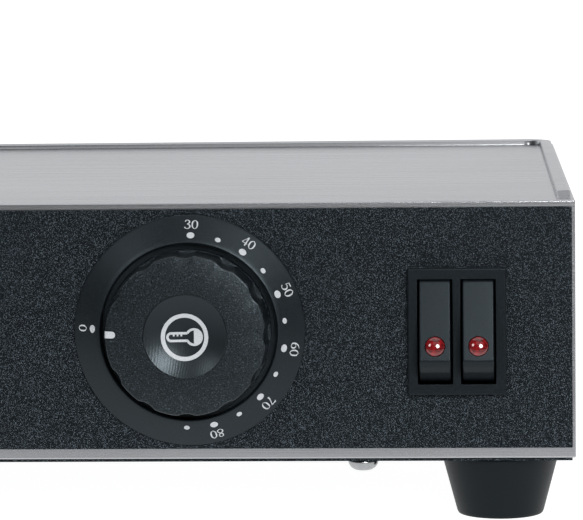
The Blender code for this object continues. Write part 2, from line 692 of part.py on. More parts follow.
def make_knob():
    """The knob, its dished cap and the shaft, carried by an empty on the dial's axis."""
    axis = add_axis("dial_axis", (DIAL_X, PANEL_Y, CONTROL_Z), FACING_USER)
    recess = CAP_RADIUS + GAP
    grip = KNOB_RADIUS - 0.35 * MM
    face = KNOB_RADIUS - 1.95 * MM
    profile = [
        (0, CAP_SEAT),
        (recess, CAP_SEAT),
        (recess, KNOB_HEIGHT),
        (face, KNOB_HEIGHT),
        (face + 0.8 * MM, KNOB_HEIGHT - 0.4 * MM),
        (face + 1.1 * MM, KNOB_HEIGHT - 1.1 * MM),
        (grip, 4.8 * MM),
        (KNOB_RADIUS, 4.2 * MM),
        (KNOB_RADIUS, 2.2 * MM),
        (KNOB_RADIUS - 2.2 * MM, 2.2 * MM),
        (KNOB_RADIUS - 3.0 * MM, KNOB_CEILING),
        (HUB_RADIUS, KNOB_CEILING),
        (HUB_RADIUS, HUB_END),
        (SHAFT_RADIUS + GAP, HUB_END),
        (SHAFT_RADIUS + GAP, KNOB_CEILING - 0.2 * MM),
        (0, KNOB_CEILING - 0.2 * MM),
    ]
    knob = turned("knob", profile, "satin_black", (0, 0, 0), UPRIGHT, 72, parent=axis)
    ring = face + 1.1 * MM + FLUTE_RADIUS - FLUTE_DEPTH
    low = 4.6 * MM
    length = KNOB_HEIGHT + 1 * MM - low
    places = []
    for i in range(1, FLUTES):  # the place on the left is left out for the pointer
        angle = math.pi + i * 2 * math.pi / FLUTES
        places.append((ring * math.cos(angle), ring * math.sin(angle), low + length / 2))
    flutes = add_cutter("flutes", rods_mesh("flutes", FLUTE_RADIUS, length, places, 20), parent=axis)
    boolean(knob, flutes)
    shares = [i / 6 for i in range(7)]
    cap = [(CAP_RADIUS * 0.95 * share, CAP_TOP - DISH_DEPTH * (1 - share**2)) for share in shares]
    cap += [(CAP_RADIUS, KNOB_HEIGHT), (CAP_RADIUS, CAP_SEAT + GAP), (0, CAP_SEAT + GAP)]
    turned("knob_cap", cap, "satin_black", (0, 0, 0), UPRIGHT, 48, parent=axis)
    tail = -(PANEL_OUT + 14 * MM)
    top = KNOB_CEILING - 0.2 * MM - 2 * GAP
    shaft = [(0, top), (SHAFT_RADIUS, top), (SHAFT_RADIUS, tail), (0, tail)]
    turned("thermostat_shaft", shaft, "aluminium", (0, 0, 0), UPRIGHT, 20, parent=axis)


def make_switch_housing():
    """Frame and body of the twin switch, open where the rockers swing."""
    face_y = PANEL_Y - GAP - SWITCH_FRAME
    back_y = PANEL_Y - GAP + SWITCH_BODY_DEPTH
    body_size = (SWITCH_BODY_WIDTH, SWITCH_BODY_DEPTH + SWITCH_FRAME / 2, SWITCH_BODY_HEIGHT)
    body = box_mesh("switch_housing", *body_size)
    body_y = back_y - body_size[1] / 2
    housing = add_part("switch_housing", body, "satin_black", (SWITCH_X, body_y, SWITCH_Z))
    frame = box_mesh("switch_frame", SWITCH_WIDTH, SWITCH_FRAME, SWITCH_HEIGHT)
    frame_cutter = add_cutter("switch_frame", frame, (SWITCH_X, face_y + SWITCH_FRAME / 2, SWITCH_Z))
    bevel(frame_cutter, 0.5 * MM)
    boolean(housing, frame_cutter, "UNION")
    sides = (-ROCKER_PITCH / 2, ROCKER_PITCH / 2)
    mouth_size = (OPENING_WIDTH, 8 * MM, OPENING_HEIGHT)
    mouths = boxes_mesh("switch_mouths", mouth_size, [(x, 0, 0) for x in sides])
    boolean(housing, add_cutter("switch_mouths", mouths, (SWITCH_X, face_y, SWITCH_Z)))
    pocket_size = (OPENING_WIDTH, POCKET_DEPTH, POCKET_HEIGHT)
    pockets = boxes_mesh("switch_pockets", pocket_size, [(x, 0, 0) for x in sides])
    pocket_y = face_y + 1.6 * MM + POCKET_DEPTH / 2
    boolean(housing, add_cutter("switch_pockets", pockets, (SWITCH_X, pocket_y, SWITCH_Z)))
    number = 0
    for x in sides:
        for z in (-TERMINAL_Z, TERMINAL_Z):
            number += 1
            name = f"switch_terminal_{number}"
            blade = box_mesh(name, *TERMINAL_SIZE)
            place = (SWITCH_X + x, back_y + GAP + TERMINAL_SIZE[1] / 2, SWITCH_Z + z)
            add_part(name, blade, "brass", place)


def rocker_outline():
    """The rocker's side view about its pivot, level, as (y, z); -Y is towards the user."""
    upper = [
        (-ROCKER_FACE_OUT, ROCKER_FACE_HALF),
        (-9.0 * MM, 14.2 * MM),
        (-5.4 * MM, 15.7 * MM),
        (-2.0 * MM, 16.3 * MM),
        (1.0 * MM, 13.0 * MM),
        (5.5 * MM, 3.0 * MM),
    ]
    lower = [(y, -z) for y, z in reversed(upper)]
    return upper + lower


def make_rockers():
    """Each rocker turns about an empty on its pivot, with its lens."""
    pivot_y = PANEL_Y - GAP - SWITCH_FRAME + PIVOT_DEPTH
    rest = Matrix.Rotation(-ROCKER_TILT, 4, "X")
    turns = [math.pi / 2 * i / 5 for i in range(1, 6)]
    dome = [(LENS_RADIUS * math.sin(turn), LENS_RISE * math.cos(turn)) for turn in turns]
    lens_profile = [(0, LENS_RISE), *dome, (LENS_RADIUS, -2 * LENS_RISE), (0, -2 * LENS_RISE)]
    for side, offset in (("left", -ROCKER_PITCH / 2), ("right", ROCKER_PITCH / 2)):
        pivot = add_axis(f"pivot_{side}", (SWITCH_X + offset, pivot_y, SWITCH_Z), rest)
        data = prism_mesh(f"rocker_{side}", rocker_outline(), ROCKER_WIDTH)
        rocker = add_part(f"rocker_{side}", data, "satin_black", parent=pivot)
        bevel(rocker, 0.35 * MM, 2, 20)
        hole = rods_mesh(f"lens_hole_{side}", LENS_RADIUS + GAP, 6 * MM, [(0, 0, 0)], 24)
        seat = (0, -ROCKER_FACE_OUT, -LENS_LOW)
        boolean(rocker, add_cutter(f"lens_hole_{side}", hole, seat, FACING_USER, pivot))
        turned(f"lens_{side}", lens_profile, "red_lens", seat, FACING_USER, 24, parent=pivot)


def make_inlet():
    """Appliance inlet in the back wall: housing with its socket, three pins and two screws."""
    flange_y = BACK_Y + GAP + INLET_FLANGE
    overlap = 1.0 * MM
    body_y = flange_y - overlap - INLET_BODY_DEPTH / 2
    body = box_mesh("inlet_housing", INLET_BODY_WIDTH, INLET_BODY_DEPTH, INLET_BODY_HEIGHT)
    housing = add_part("inlet_housing", body, "phenolic", (INLET_X, body_y, INLET_Z))
    flange = box_mesh("inlet_flange", INLET_FLANGE_WIDTH, INLET_FLANGE, INLET_FLANGE_HEIGHT)
    flange_cutter = add_cutter("inlet_flange", flange, (INLET_X, flange_y - INLET_FLANGE / 2, INLET_Z))
    bevel(flange_cutter, 0.6 * MM)
    boolean(housing, flange_cutter, "UNION")
    socket = box_mesh("inlet_socket", SOCKET_WIDTH, 2 * SOCKET_DEPTH, SOCKET_HEIGHT)
    boolean(housing, add_cutter("inlet_socket", socket, (INLET_X, flange_y, INLET_Z)))
    boolean(housing, bpy.data.objects["inlet_holes"])
    pin_places = {
        "neutral": (INLET_X - PIN_PITCH, PIN_Z),
        "earth": (INLET_X, EARTH_PIN_Z),
        "live": (INLET_X + PIN_PITCH, PIN_Z),
    }
    floor_y = flange_y - SOCKET_DEPTH
    slots = [(x, floor_y, z) for x, z in pin_places.values()]
    slot_size = (PIN_SIZE[0] + 2 * GAP, 8 * MM, PIN_SIZE[2] + 2 * GAP)
    boolean(housing, add_cutter("pin_slots", boxes_mesh("pin_slots", slot_size, slots)))
    for name, (x, z) in pin_places.items():
        pin = box_mesh(f"inlet_pin_{name}", *PIN_SIZE)
        add_part(f"inlet_pin_{name}", pin, "brass", (x, floor_y + PIN_INSIDE, z))
    profile = screw_profile(2.8 * MM, INLET_SCREW_HEAD, 1.5 * MM, 7 * MM)
    for side, offset in (("left", -INLET_SCREW_X), ("right", INLET_SCREW_X)):
        seat = (INLET_X + offset, flange_y + GAP, INLET_Z)
        turned(f"inlet_screw_{side}", profile, "screw_steel", seat, FACING_BACK, 14)


def make_wiring():
    """Terminal block, earth stud and the leads, laid low in the case."""
    block = box_mesh("terminal_block", *BLOCK_SIZE)
    block_x, block_y = BLOCK_PLACE[0], depth(BLOCK_PLACE[1])
    block_z = COVER_TOP_Z + GAP + BLOCK_SIZE[2] / 2
    part = add_part("terminal_block", block, "phenolic", (block_x, block_y, block_z))
    bevel(part, 0.8 * MM, 1)
    stud = [(0, STUD_HEIGHT), (2 * MM, STUD_HEIGHT), (2 * MM, 3 * MM), (4 * MM, 3 * MM), (4 * MM, 0), (0, 0)]
    stud_x, stud_y, stud_z = STUD_PLACE[0], depth(STUD_PLACE[1]), COVER_TOP_Z + GAP
    turned("earth_stud", stud, "brass", (stud_x, stud_y, stud_z), UPRIGHT, 14)
    pin_end = BACK_Y + GAP + INLET_FLANGE - SOCKET_DEPTH + PIN_INSIDE - PIN_SIZE[1] / 2 - 3 * GAP
    switch_end = PANEL_Y - GAP + SWITCH_BODY_DEPTH + 4 * GAP + TERMINAL_SIZE[1]
    block_back = block_y + BLOCK_SIZE[1] / 2 + 0.4 * MM
    block_front = block_y - BLOCK_SIZE[1] / 2 - 0.4 * MM
    tail_y = depth(TAIL_FRONT - 1 * MM)
    tag, tag_y, tag_z = THERMOSTAT_WIDTH / 2 + 1 * MM, depth(20 * MM), 52 * MM
    left_x = SWITCH_X - ROCKER_PITCH / 2
    right_x = SWITCH_X + ROCKER_PITCH / 2
    wire(
        "wire_live",
        [
            (INLET_X + PIN_PITCH, pin_end, PIN_Z),
            (INLET_X + 8 * MM, pin_end - 14 * MM, INLET_Z - 4 * MM),
            (164 * MM, depth(170 * MM), 34 * MM),
            (174 * MM, depth(80 * MM), 40 * MM),
            (right_x, switch_end + 12 * MM, 50 * MM),
            (right_x, switch_end, SWITCH_Z - TERMINAL_Z),
        ],
        "brown_wire",
    )
    wire(
        "wire_neutral",
        [
            (INLET_X - PIN_PITCH, pin_end, PIN_Z),
            (INLET_X - 8 * MM, pin_end - 8 * MM, INLET_Z - 8 * MM),
            (122 * MM, depth(192 * MM), 30 * MM),
            (block_x + 4 * MM, depth(176 * MM), 30 * MM),
            (block_x + 4 * MM, block_back, 30 * MM),
        ],
        "blue_wire",
    )
    wire(
        "wire_earth",
        [
            (INLET_X, pin_end, EARTH_PIN_Z),
            (INLET_X - 1 * MM, pin_end - 8 * MM, INLET_Z + 7 * MM),
            (124 * MM, depth(228 * MM), 61 * MM),
            (stud_x + 1 * MM, stud_y + 1 * MM, 48 * MM),
            (stud_x, stud_y, stud_z + STUD_HEIGHT + 1 * MM),
        ],
        "green_wire",
    )
    wire(
        "wire_switched",
        [
            (left_x, switch_end, SWITCH_Z - TERMINAL_Z),
            (left_x - 2 * MM, switch_end + 8 * MM, 46 * MM),
            (134 * MM, depth(44 * MM), 44 * MM),
            (112 * MM, depth(30 * MM), 50 * MM),
            (DIAL_X + tag, tag_y, tag_z),
        ],
        "red_wire",
    )
    wire(
        "wire_element_live",
        [
            (DIAL_X - tag, tag_y, tag_z),
            (60 * MM, depth(26 * MM), 46 * MM),
            (-40 * MM, depth(28 * MM), 40 * MM),
            (-130 * MM, depth(26 * MM), 60 * MM),
            (LIVE_TAIL_X, depth(30 * MM), 80 * MM),
            (LIVE_TAIL_X, tail_y, ELEMENT_Z),
        ],
        "brown_wire",
    )
    wire(
        "wire_element_neutral",
        [
            (block_x - 4 * MM, block_front, 30 * MM),
            (92 * MM, depth(110 * MM), 30 * MM),
            (30 * MM, depth(50 * MM), 34 * MM),
            (-100 * MM, depth(36 * MM), 36 * MM),
            (-165 * MM, depth(28 * MM), 56 * MM),
            (NEUTRAL_TAIL_X, depth(31 * MM), 80 * MM),
            (NEUTRAL_TAIL_X, tail_y, ELEMENT_Z),
        ],
        "blue_wire",
    )


def main():
    screw_holes = make_cover_holes()
    make_top_shell(screw_holes)
    make_control_panel()
    make_bottom_cover(screw_holes)
    make_feet()
    make_cover_screws()
    make_heating()
    make_thermostat()
    make_sensor()
    make_dial_bezel()
    make_knob()
    make_switch_housing()
    make_rockers()
    make_inlet()
    make_wiring()


main()
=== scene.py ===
"""Looks of the benchtop hot plate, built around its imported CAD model.

Metres, +Z up, controls towards -Y.
"""

import json
import math

import bmesh
import bpy
from mathutils import Matrix, Vector


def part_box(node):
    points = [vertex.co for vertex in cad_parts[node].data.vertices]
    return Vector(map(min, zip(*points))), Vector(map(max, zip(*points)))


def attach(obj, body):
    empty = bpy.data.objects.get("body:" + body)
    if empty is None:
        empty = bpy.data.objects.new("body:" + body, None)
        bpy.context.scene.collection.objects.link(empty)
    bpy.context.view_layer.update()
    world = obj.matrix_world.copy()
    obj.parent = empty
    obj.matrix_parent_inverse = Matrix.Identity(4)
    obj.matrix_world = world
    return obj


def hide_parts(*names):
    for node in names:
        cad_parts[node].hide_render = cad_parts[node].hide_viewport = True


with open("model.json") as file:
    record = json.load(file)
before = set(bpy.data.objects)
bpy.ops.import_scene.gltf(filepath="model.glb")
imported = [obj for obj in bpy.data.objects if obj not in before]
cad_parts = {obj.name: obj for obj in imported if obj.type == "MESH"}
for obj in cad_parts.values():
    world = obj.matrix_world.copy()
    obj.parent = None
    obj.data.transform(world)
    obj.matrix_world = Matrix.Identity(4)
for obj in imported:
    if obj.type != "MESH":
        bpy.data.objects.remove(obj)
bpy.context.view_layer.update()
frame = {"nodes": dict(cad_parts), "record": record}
NODES = frame["nodes"]
MM = 0.001

# Places read from the frame
SHELL_LOW, SHELL_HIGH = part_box("top_shell")
PANEL_LOW, PANEL_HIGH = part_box("control_panel")
BEZEL_LOW, BEZEL_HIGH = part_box("dial_bezel")
KNOB_LOW, KNOB_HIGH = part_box("knob")
SWITCH_LOW, SWITCH_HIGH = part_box("switch_housing")
PANEL_Y = PANEL_LOW.y
DIAL = Vector(((BEZEL_LOW.x + BEZEL_HIGH.x) / 2, PANEL_Y, (BEZEL_LOW.z + BEZEL_HIGH.z) / 2))
SWITCH_MIDDLE = (SWITCH_LOW + SWITCH_HIGH) / 2
SWITCH = Vector((SWITCH_MIDDLE.x, SWITCH_LOW.y, SWITCH_MIDDLE.z))
FACING_USER = Matrix.Rotation(math.pi / 2, 4, "X")  # local +Z points to -Y
FACING_BACK = Matrix.Rotation(-math.pi / 2, 4, "X")
FACING_DOWN = Matrix.Rotation(math.pi, 4, "X")
PRINT_LIFT = 0.03 * MM  # of the print over what it is printed on
PRINT_THICKNESS = 0.05 * MM
TINY = 1e-7

# Case
SHEET = 1.0 * MM
FLANGE = 14 * MM  # of the cover, turned in under the case
BEND_RADIUS = 0.5 * MM
RIM_HALF_WIDTH = 2.0 * MM
RIM_INSET = 3.0 * MM
RIM_HEIGHT = RIM_HALF_WIDTH - 0.1 * MM
RIM_TURN = 8 * MM  # bend radius of the rim at the rear corners
RIM_RISE = 6 * MM  # length over which the rim's front ends rise out of the top
RIM_ROOT = 0.5 * MM  # depth of its section in the top
TOP_Z = SHELL_HIGH.z - RIM_HEIGHT
PANEL_EDGE = 0.25 * MM
CORNERS = ("front_left", "front_right", "rear_left", "rear_right")
FOOT_BASE = 12.95 * MM
FOOT_RECESS, FOOT_RECESS_DEPTH = 5 * MM, 9 * MM
FOOT_HOLE = 2.3 * MM
# Shares of a pan head's radius and height, from its middle to its edge
PAN_HEAD = ((0, 1), (0.3, 0.985), (0.6, 0.9), (0.83, 0.68), (0.96, 0.4), (1, 0.15))

# Openings of the case: radii, and half sizes of the bodies that sit in them with a gap
CUT_DEPTH = 8 * MM
CUT_GAP = 0.3 * MM
SHAFT_HOLE = 5 * MM
THERMOSTAT_HOLE, THERMOSTAT_HOLE_X = 1.9 * MM, 14 * MM
DIAL_HOLE = 19.5 * MM
INLET_HOLE, INLET_HOLE_X = 1.8 * MM, 20 * MM
COVER_HOLE = 2.2 * MM
SWITCH_BODY = Vector((13.4 * MM, 0, 17.7 * MM))
INLET_BODY = Vector((13.5 * MM, 0, 10 * MM))
VENTS, VENT_PITCH, VENT_Z = 9, 9 * MM, 50 * MM
VENT = Vector((1.5 * MM, CUT_DEPTH / 2, 11 * MM))

# Dial: radii, and heights above the panel
BEZEL_RADIUS = (BEZEL_HIGH.x - BEZEL_LOW.x) / 2
BEZEL_HEIGHT = PANEL_Y - BEZEL_LOW.y
BEZEL_LIP = 26.3 * MM
BEZEL_BORE = 25.9 * MM
BEZEL_HOLE = 22.5 * MM
BEZEL_FLOOR = 1.3 * MM
CONE_INNER = Vector((27.2 * MM, BEZEL_HEIGHT - 0.4 * MM))  # radius and height where the cone begins
CONE_OUTER = Vector((BEZEL_RADIUS - 0.5 * MM, 1.1 * MM))
DOT_RADIUS = 28.35 * MM  # from the dial's middle to a dot's
LARGE_DOT = (1.15 * MM, 0.95 * MM)  # half sizes along the scale and outwards
SMALL_DOT = (0.85 * MM, 0.70 * MM)
LABEL_RADIUS = 31.4 * MM
DIGIT_HEIGHT = 2.9 * MM
DIGIT_STRETCH = 1.18
DIGIT_WIDTH = 0.54  # in digit heights, before the stretch
DIGIT_STEP = 0.62  # from one digit's left side to the next one's, in the same unit
SCALE_TURN = math.radians(2)

# Knob: radii, and heights above the panel
KNOB_HEIGHT = PANEL_Y - KNOB_LOW.y
KNOB_SKIRT = (KNOB_HIGH.x - KNOB_LOW.x) / 2
KNOB_FACE = KNOB_SKIRT - 0.85 * MM
FLUTES = 12
FLUTE_RADIUS = 6 * MM
FLUTE_DEPTH = 0.75 * MM
FLUTE_BLEND = 0.25 * MM
FACE_EDGE = 0.55 * MM  # radius of the round between the knob's face and its grip
FACE_DROP = 0.8 * MM  # how far the face falls from the cap to that round
GRIP_TOP = KNOB_HEIGHT - FACE_DROP - FACE_EDGE
GRIP_LOW = 4.6 * MM
GRIP_TAPER = 0.5 * MM  # how much wider the grip is at its foot
SKIRT_TOP, SKIRT_LOW = 4.2 * MM, 2.2 * MM
HOLLOW_TOP = 10.2 * MM
HUB_RADIUS, HUB_LOW = 6 * MM, 3 * MM
BORE_RADIUS, BORE_TOP = 3.3 * MM, 10 * MM
CAP_RADIUS = 12.2 * MM
CAP_SEAT = CAP_RADIUS + 0.06 * MM
CAP_LOW = KNOB_HEIGHT - 4.3 * MM
SEAT_LOW = KNOB_HEIGHT - 4.5 * MM
DISH_EDGE = CAP_RADIUS * 0.984
DISH_DEPTH = 2.6 * MM

# Switch: depths are from its face, and its mouths and pockets have half sizes
FRAME_DEPTH = 2.0 * MM
FRAME_EDGE = 0.55 * MM
MOUTH_WIDTH = 5.1 * MM
MOUTH_HEIGHT, POCKET_HEIGHT = 15.45 * MM, 16.9 * MM
POCKET_START, POCKET_END = 1.6 * MM, 20.1 * MM
ROCKER_TILT = math.radians(16)
ROCKER_FACE_HALF = 11.86 * MM  # half the height of the flat face
ROCKER_FACE_OUT = 12.7 * MM  # from the pivot
ROCKER_WIDTH = 9.1 * MM
ROCKER_PITCH = 12.6 * MM
PIVOT_DEPTH = 9.2 * MM
LENS_RADIUS = 2.85 * MM
LENS_RISE = 1.2 * MM
LENS_ROOT = 1.7 * MM
LENS_LOW = 7.4 * MM  # from the middle of the rocker's face

# Stage
GLOW_START, GLOW_END = -0.32, -0.13  # Y between which the floor's glow grows
GLOW_LOW, GLOW_HIGH = 0.03, 0.98
ROOM_LOW, ROOM_HIGH = 0.05, 0.82  # light of the room in front and behind
LIGHT_TARGET = Vector((0.10, -0.10, 0.06))
CAMERA_FROM_DIAL = Vector((0.0849, -0.9078, 0.1100))
CAMERA_YAW, CAMERA_PITCH, CAMERA_ROLL = math.radians(3.45), math.radians(5.62), math.radians(0.74)
FOCAL_LENGTH = 192.8

# Materials

BLUISH = (0.76, 0.92, 1.0, 1.0)  # of the sheen on the black pieces
MIX_FIRST, MIX_SECOND, MIX_RESULT = 6, 7, 2  # the colour sockets of a Mix node


class Shader:
    """A Principled material and short calls for the nodes that vary it."""

    def __init__(self, name, colour, roughness, metallic=0.0, **sockets):
        self.material = bpy.data.materials.new(name)
        self.material.use_nodes = True
        self.tree = self.material.node_tree
        self.bsdf = self.tree.nodes["Principled BSDF"]
        self.set(self.bsdf, "Base Color", (*colour, 1.0))
        self.set(self.bsdf, "Roughness", roughness)
        self.set(self.bsdf, "Metallic", metallic)
        for socket, value in sockets.items():
            self.set(self.bsdf, socket.replace("_", " "), value)
        self.place = self.tree.nodes.new("ShaderNodeTexCoord").outputs["Object"]
        self.height = None

    def set(self, node, socket, value):
        node.inputs[socket].default_value = value

    def link(self, output, node, socket):
        self.tree.links.new(output, node.inputs[socket])

    def noise(self, scale, detail=3.0, stretch=(1, 1, 1), distortion=0.0):
        mapping = self.tree.nodes.new("ShaderNodeMapping")
        self.set(mapping, "Scale", stretch)
        self.link(self.place, mapping, "Vector")
        noise = self.tree.nodes.new("ShaderNodeTexNoise")
        self.set(noise, "Scale", scale)
        self.set(noise, "Detail", detail)
        self.set(noise, "Distortion", distortion)
        self.link(mapping.outputs["Vector"], noise, "Vector")
        return noise.outputs["Fac"]

    def ramp(self, value, low, high, start, end):
        """The value between low and high, spread over start to end."""
        spread = self.tree.nodes.new("ShaderNodeMapRange")
        self.set(spread, "From Min", low)
        self.set(spread, "From Max", high)
        self.set(spread, "To Min", start)
        self.set(spread, "To Max", end)
        self.link(value, spread, "Value")
        return spread.outputs["Result"]

    def mix(self, factor, first, second):
        """The base colour, from the first colour to the second by this factor."""
        blend = self.tree.nodes.new("ShaderNodeMix")
        blend.data_type = "RGBA"
        self.link(factor, blend, "Factor")
        blend.inputs[MIX_FIRST].default_value = (*first, 1.0)
        blend.inputs[MIX_SECOND].default_value = (*second, 1.0)
        self.link(blend.outputs[MIX_RESULT], self.bsdf, "Base Color")

    def bump(self, height, strength, distance):
        bump = self.tree.nodes.new("ShaderNodeBump")
        self.set(bump, "Strength", strength)
        self.set(bump, "Distance", distance)
        self.link(height, bump, "Height")
        if self.height is not None:
            self.link(self.height, bump, "Normal")
        self.link(bump.outputs["Normal"], self.bsdf, "Normal")
        self.height = bump.outputs["Normal"]


def brushed_steel(name, colour, roughness):
    """Sheet steel brushed along X, with faint smears."""
    look = Shader(name, colour, roughness, 1.0, Specular_Tint=(0.62, 0.62, 0.63, 1.0))
    streaks = look.noise(scale=90, detail=6, stretch=(0.06, 14, 14))
    smears = look.noise(scale=9, detail=2)
    varied = look.ramp(streaks, 0.3, 0.7, roughness - 0.05, roughness + 0.07)
    look.link(varied, look.bsdf, "Roughness")
    dark = tuple(c * 0.90 for c in colour)
    look.mix(look.ramp(smears, 0.35, 0.7, 0, 1), colour, dark)
    look.bump(streaks, 0.05, 0.1 * MM)
    return look.material


def textured_black(name):
    """Fine leather-like coating, with painted bluish highlights on the high spots of its grain."""
    colour = (0.010, 0.012, 0.014)
    # The grain's low spots stay near black and its high spots take a pale bluish colour: painted
    # highlights on the grain tops
    hollow, bright = (0.0015, 0.0025, 0.0035), (0.085, 0.105, 0.125)
    look = Shader(name, colour, 0.45, Specular_IOR_Level=0.16, Specular_Tint=BLUISH)
    grain = look.noise(scale=3400, detail=2, distortion=0.3)
    fine = look.noise(scale=5000, detail=1)
    look.mix(look.ramp(grain, 0.54, 0.66, 0, 1), hollow, bright)
    look.link(look.ramp(fine, 0.3, 0.7, 0.32, 0.60), look.bsdf, "Roughness")
    look.bump(grain, 1.0, 0.22 * MM)
    look.bump(fine, 0.5, 0.08 * MM)
    return look.material


def satin_black(name, colour, roughness, grain, specular=0.33, grain_highlight_gain=1.35, start=0.48):
    """Moulded plastic with an eroded satin grain, with a painted highlight that makes its high
    spots brighter by a given factor.
    """
    look = Shader(name, colour, roughness, Specular_IOR_Level=specular, Specular_Tint=BLUISH)
    fine = look.noise(scale=2700, detail=2)
    # Painted highlight: the grain's high spots take the colour times the given factor
    lighter = tuple(c * grain_highlight_gain for c in colour)
    look.mix(look.ramp(fine, start, start + 0.16, 0, 1), colour, lighter)
    varied = look.ramp(fine, 0.3, 0.7, roughness - 0.07, roughness + 0.07)
    look.link(varied, look.bsdf, "Roughness")
    look.bump(fine, grain, 0.06 * MM)
    return look.material


def turned_black(name, colour, roughness):
    """Satin plastic with fine rings from turning, centred on the dial."""
    look = Shader(name, colour, roughness, Specular_IOR_Level=0.5, Specular_Tint=BLUISH)
    rings = look.tree.nodes.new("ShaderNodeTexWave")
    rings.wave_type = "RINGS"
    rings.rings_direction = "Y"
    look.set(rings, "Scale", 450)
    look.set(rings, "Distortion", 1.5)
    look.set(rings, "Detail", 2)
    centred = look.tree.nodes.new("ShaderNodeMapping")
    look.set(centred, "Location", -DIAL)
    look.link(look.place, centred, "Vector")
    look.link(centred.outputs["Vector"], rings, "Vector")
    look.bump(rings.outputs["Fac"], 0.25, 0.05 * MM)
    look.bump(look.noise(scale=2600), 0.4, 0.05 * MM)
    return look.material


def plain(name, colour, roughness, metallic=0.0, scale=400, grain=0.1):
    """A surface with slight cloudiness, for small or hidden pieces."""
    look = Shader(name, colour, roughness, metallic)
    cloud = look.noise(scale, detail=4)
    darker = tuple(c * 0.82 for c in colour)
    look.mix(look.ramp(cloud, 0.3, 0.7, 0, 1), colour, darker)
    look.bump(cloud, grain, 0.05 * MM)
    return look.material


def fibre(name, colour):
    """Matted ceramic fibre."""
    look = Shader(name, colour, 0.95)
    tangle = look.noise(scale=700, detail=6, stretch=(1, 1, 3), distortion=2.0)
    darker = tuple(c * 0.75 for c in colour)
    look.mix(look.ramp(tangle, 0.3, 0.7, 0, 1), colour, darker)
    look.bump(tangle, 0.8, 0.4 * MM)
    return look.material


def lens_red(name):
    """Clear red dome over a darker chip."""
    colour, bright, chip = (0.24, 0.006, 0.009), (0.27, 0.007, 0.010), (0.09, 0.003, 0.004)
    look = Shader(name, colour, 0.10, Coat_Weight=1.0, Coat_Roughness=0.03, IOR=1.55)
    look.mix(look.ramp(look.noise(scale=900), 0.4, 0.62, 0, 1), bright, chip)
    return look.material


def make_materials():
    black, deep_black = (0.006, 0.008, 0.010), (0.003, 0.004, 0.005)
    return {
        "brushed_steel": brushed_steel("steel_brushed", (0.485, 0.495, 0.515), 0.25),
        "zinc_steel": plain("steel_zinc", (0.44, 0.45, 0.46), 0.38, 1.0, 120, 0.05),
        "screw_steel": plain("steel_bright", (0.40, 0.41, 0.42), 0.24, 1.0, 900, 0.05),
        "aluminium": plain("aluminium_milled", (0.66, 0.67, 0.68), 0.36, 1.0, 200, 0.05),
        "brass": plain("brass_plain", (0.72, 0.55, 0.28), 0.30, 1.0),
        "copper": plain("copper_drawn", (0.72, 0.40, 0.26), 0.32, 1.0),
        "textured_black": textured_black("coating_textured"),
        # The sixth number of each satin_black sets its painted highlight on the grain tops; the
        # grip's is twenty times its colour
        "satin_black": satin_black("plastic_satin", black, 0.37, 0.6, 0.36, 1.6),
        "grip_black": satin_black("plastic_grip", deep_black, 0.33, 0.8, 0.5, 20.0, 0.56),
        "dish_black": turned_black("plastic_turned", black, 0.34),
        "switch_black": satin_black("plastic_switch", black, 0.34, 0.10, 0.22),
        "rubber_black": satin_black("rubber_moulded", deep_black, 0.46, 0.35, 0.20),
        "red_lens": lens_red("lens_clear_red"),
        "print_white": plain("print_white", (0.60, 0.63, 0.66), 0.5, 0.0, 3000, 0.05),
        "ceramic_fibre": fibre("fibre_blanket", (0.86, 0.84, 0.78)),
        "phenolic": satin_black("phenolic_moulded", (0.022, 0.020, 0.019), 0.45, 0.15),
        "brown_wire": plain("wire_brown", (0.16, 0.065, 0.025), 0.4),
        "blue_wire": plain("wire_blue", (0.03, 0.11, 0.38), 0.4),
        "green_wire": plain("wire_green", (0.10, 0.33, 0.06), 0.4),
        "red_wire": plain("wire_red", (0.40, 0.02, 0.02), 0.4),
    }


LOOKS = make_materials()


# Mesh helpers


def add_mesh(name, shape, place=(0, 0, 0), turn=Matrix.Identity(4)):
    """Turns a bmesh into a piece of the scene."""
    data = bpy.data.meshes.new(name)
    shape.to_mesh(data)
    shape.free()
    piece = bpy.data.objects.new(name, data)
    bpy.context.scene.collection.objects.link(piece)
    piece.matrix_world = Matrix.Translation(place) @ turn
    return piece


def freeze(piece):
    """Puts what the modifiers made into the mesh."""
    bpy.context.view_layer.update()
    graph = bpy.context.evaluated_depsgraph_get()
    data = bpy.data.meshes.new_from_object(piece.evaluated_get(graph))
    piece.modifiers.clear()
    piece.data = data


def boolean(piece, cutters, operation="DIFFERENCE"):
    """Cuts the cutters out of a piece, or joins them to it, and removes them."""
    for cutter in cutters:
        step = piece.modifiers.new("boolean", "BOOLEAN")
        step.operation = operation
        step.object = cutter
        step.solver = "EXACT"
    freeze(piece)
    for cutter in cutters:
        bpy.data.objects.remove(cutter, do_unlink=True)


def bevel(piece, width, segments=4, angle=30):
    step = piece.modifiers.new("bevel", "BEVEL")
    step.width = width
    step.segments = segments
    step.limit_method = "ANGLE"
    step.angle_limit = math.radians(angle)


def smooth(piece, angle=35):
    """Round surfaces shaded smooth, flat ones kept flat, sharp edges kept sharp."""
    piece.data.shade_smooth()
    piece.data.set_sharp_from_angle(angle=math.radians(angle))
    step = piece.modifiers.new("normals", "WEIGHTED_NORMAL")
    step.keep_sharp = True
    step.weight = 100


def dress(piece, look, slot, body, *replaced):
    """Gives a piece its material and body, and hides the CAD nodes it stands for. The slot is not
    used.
    """
    piece.data.materials.clear()
    piece.data.materials.append(LOOKS[look])
    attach(piece, body)
    if replaced:
        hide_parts(*replaced)


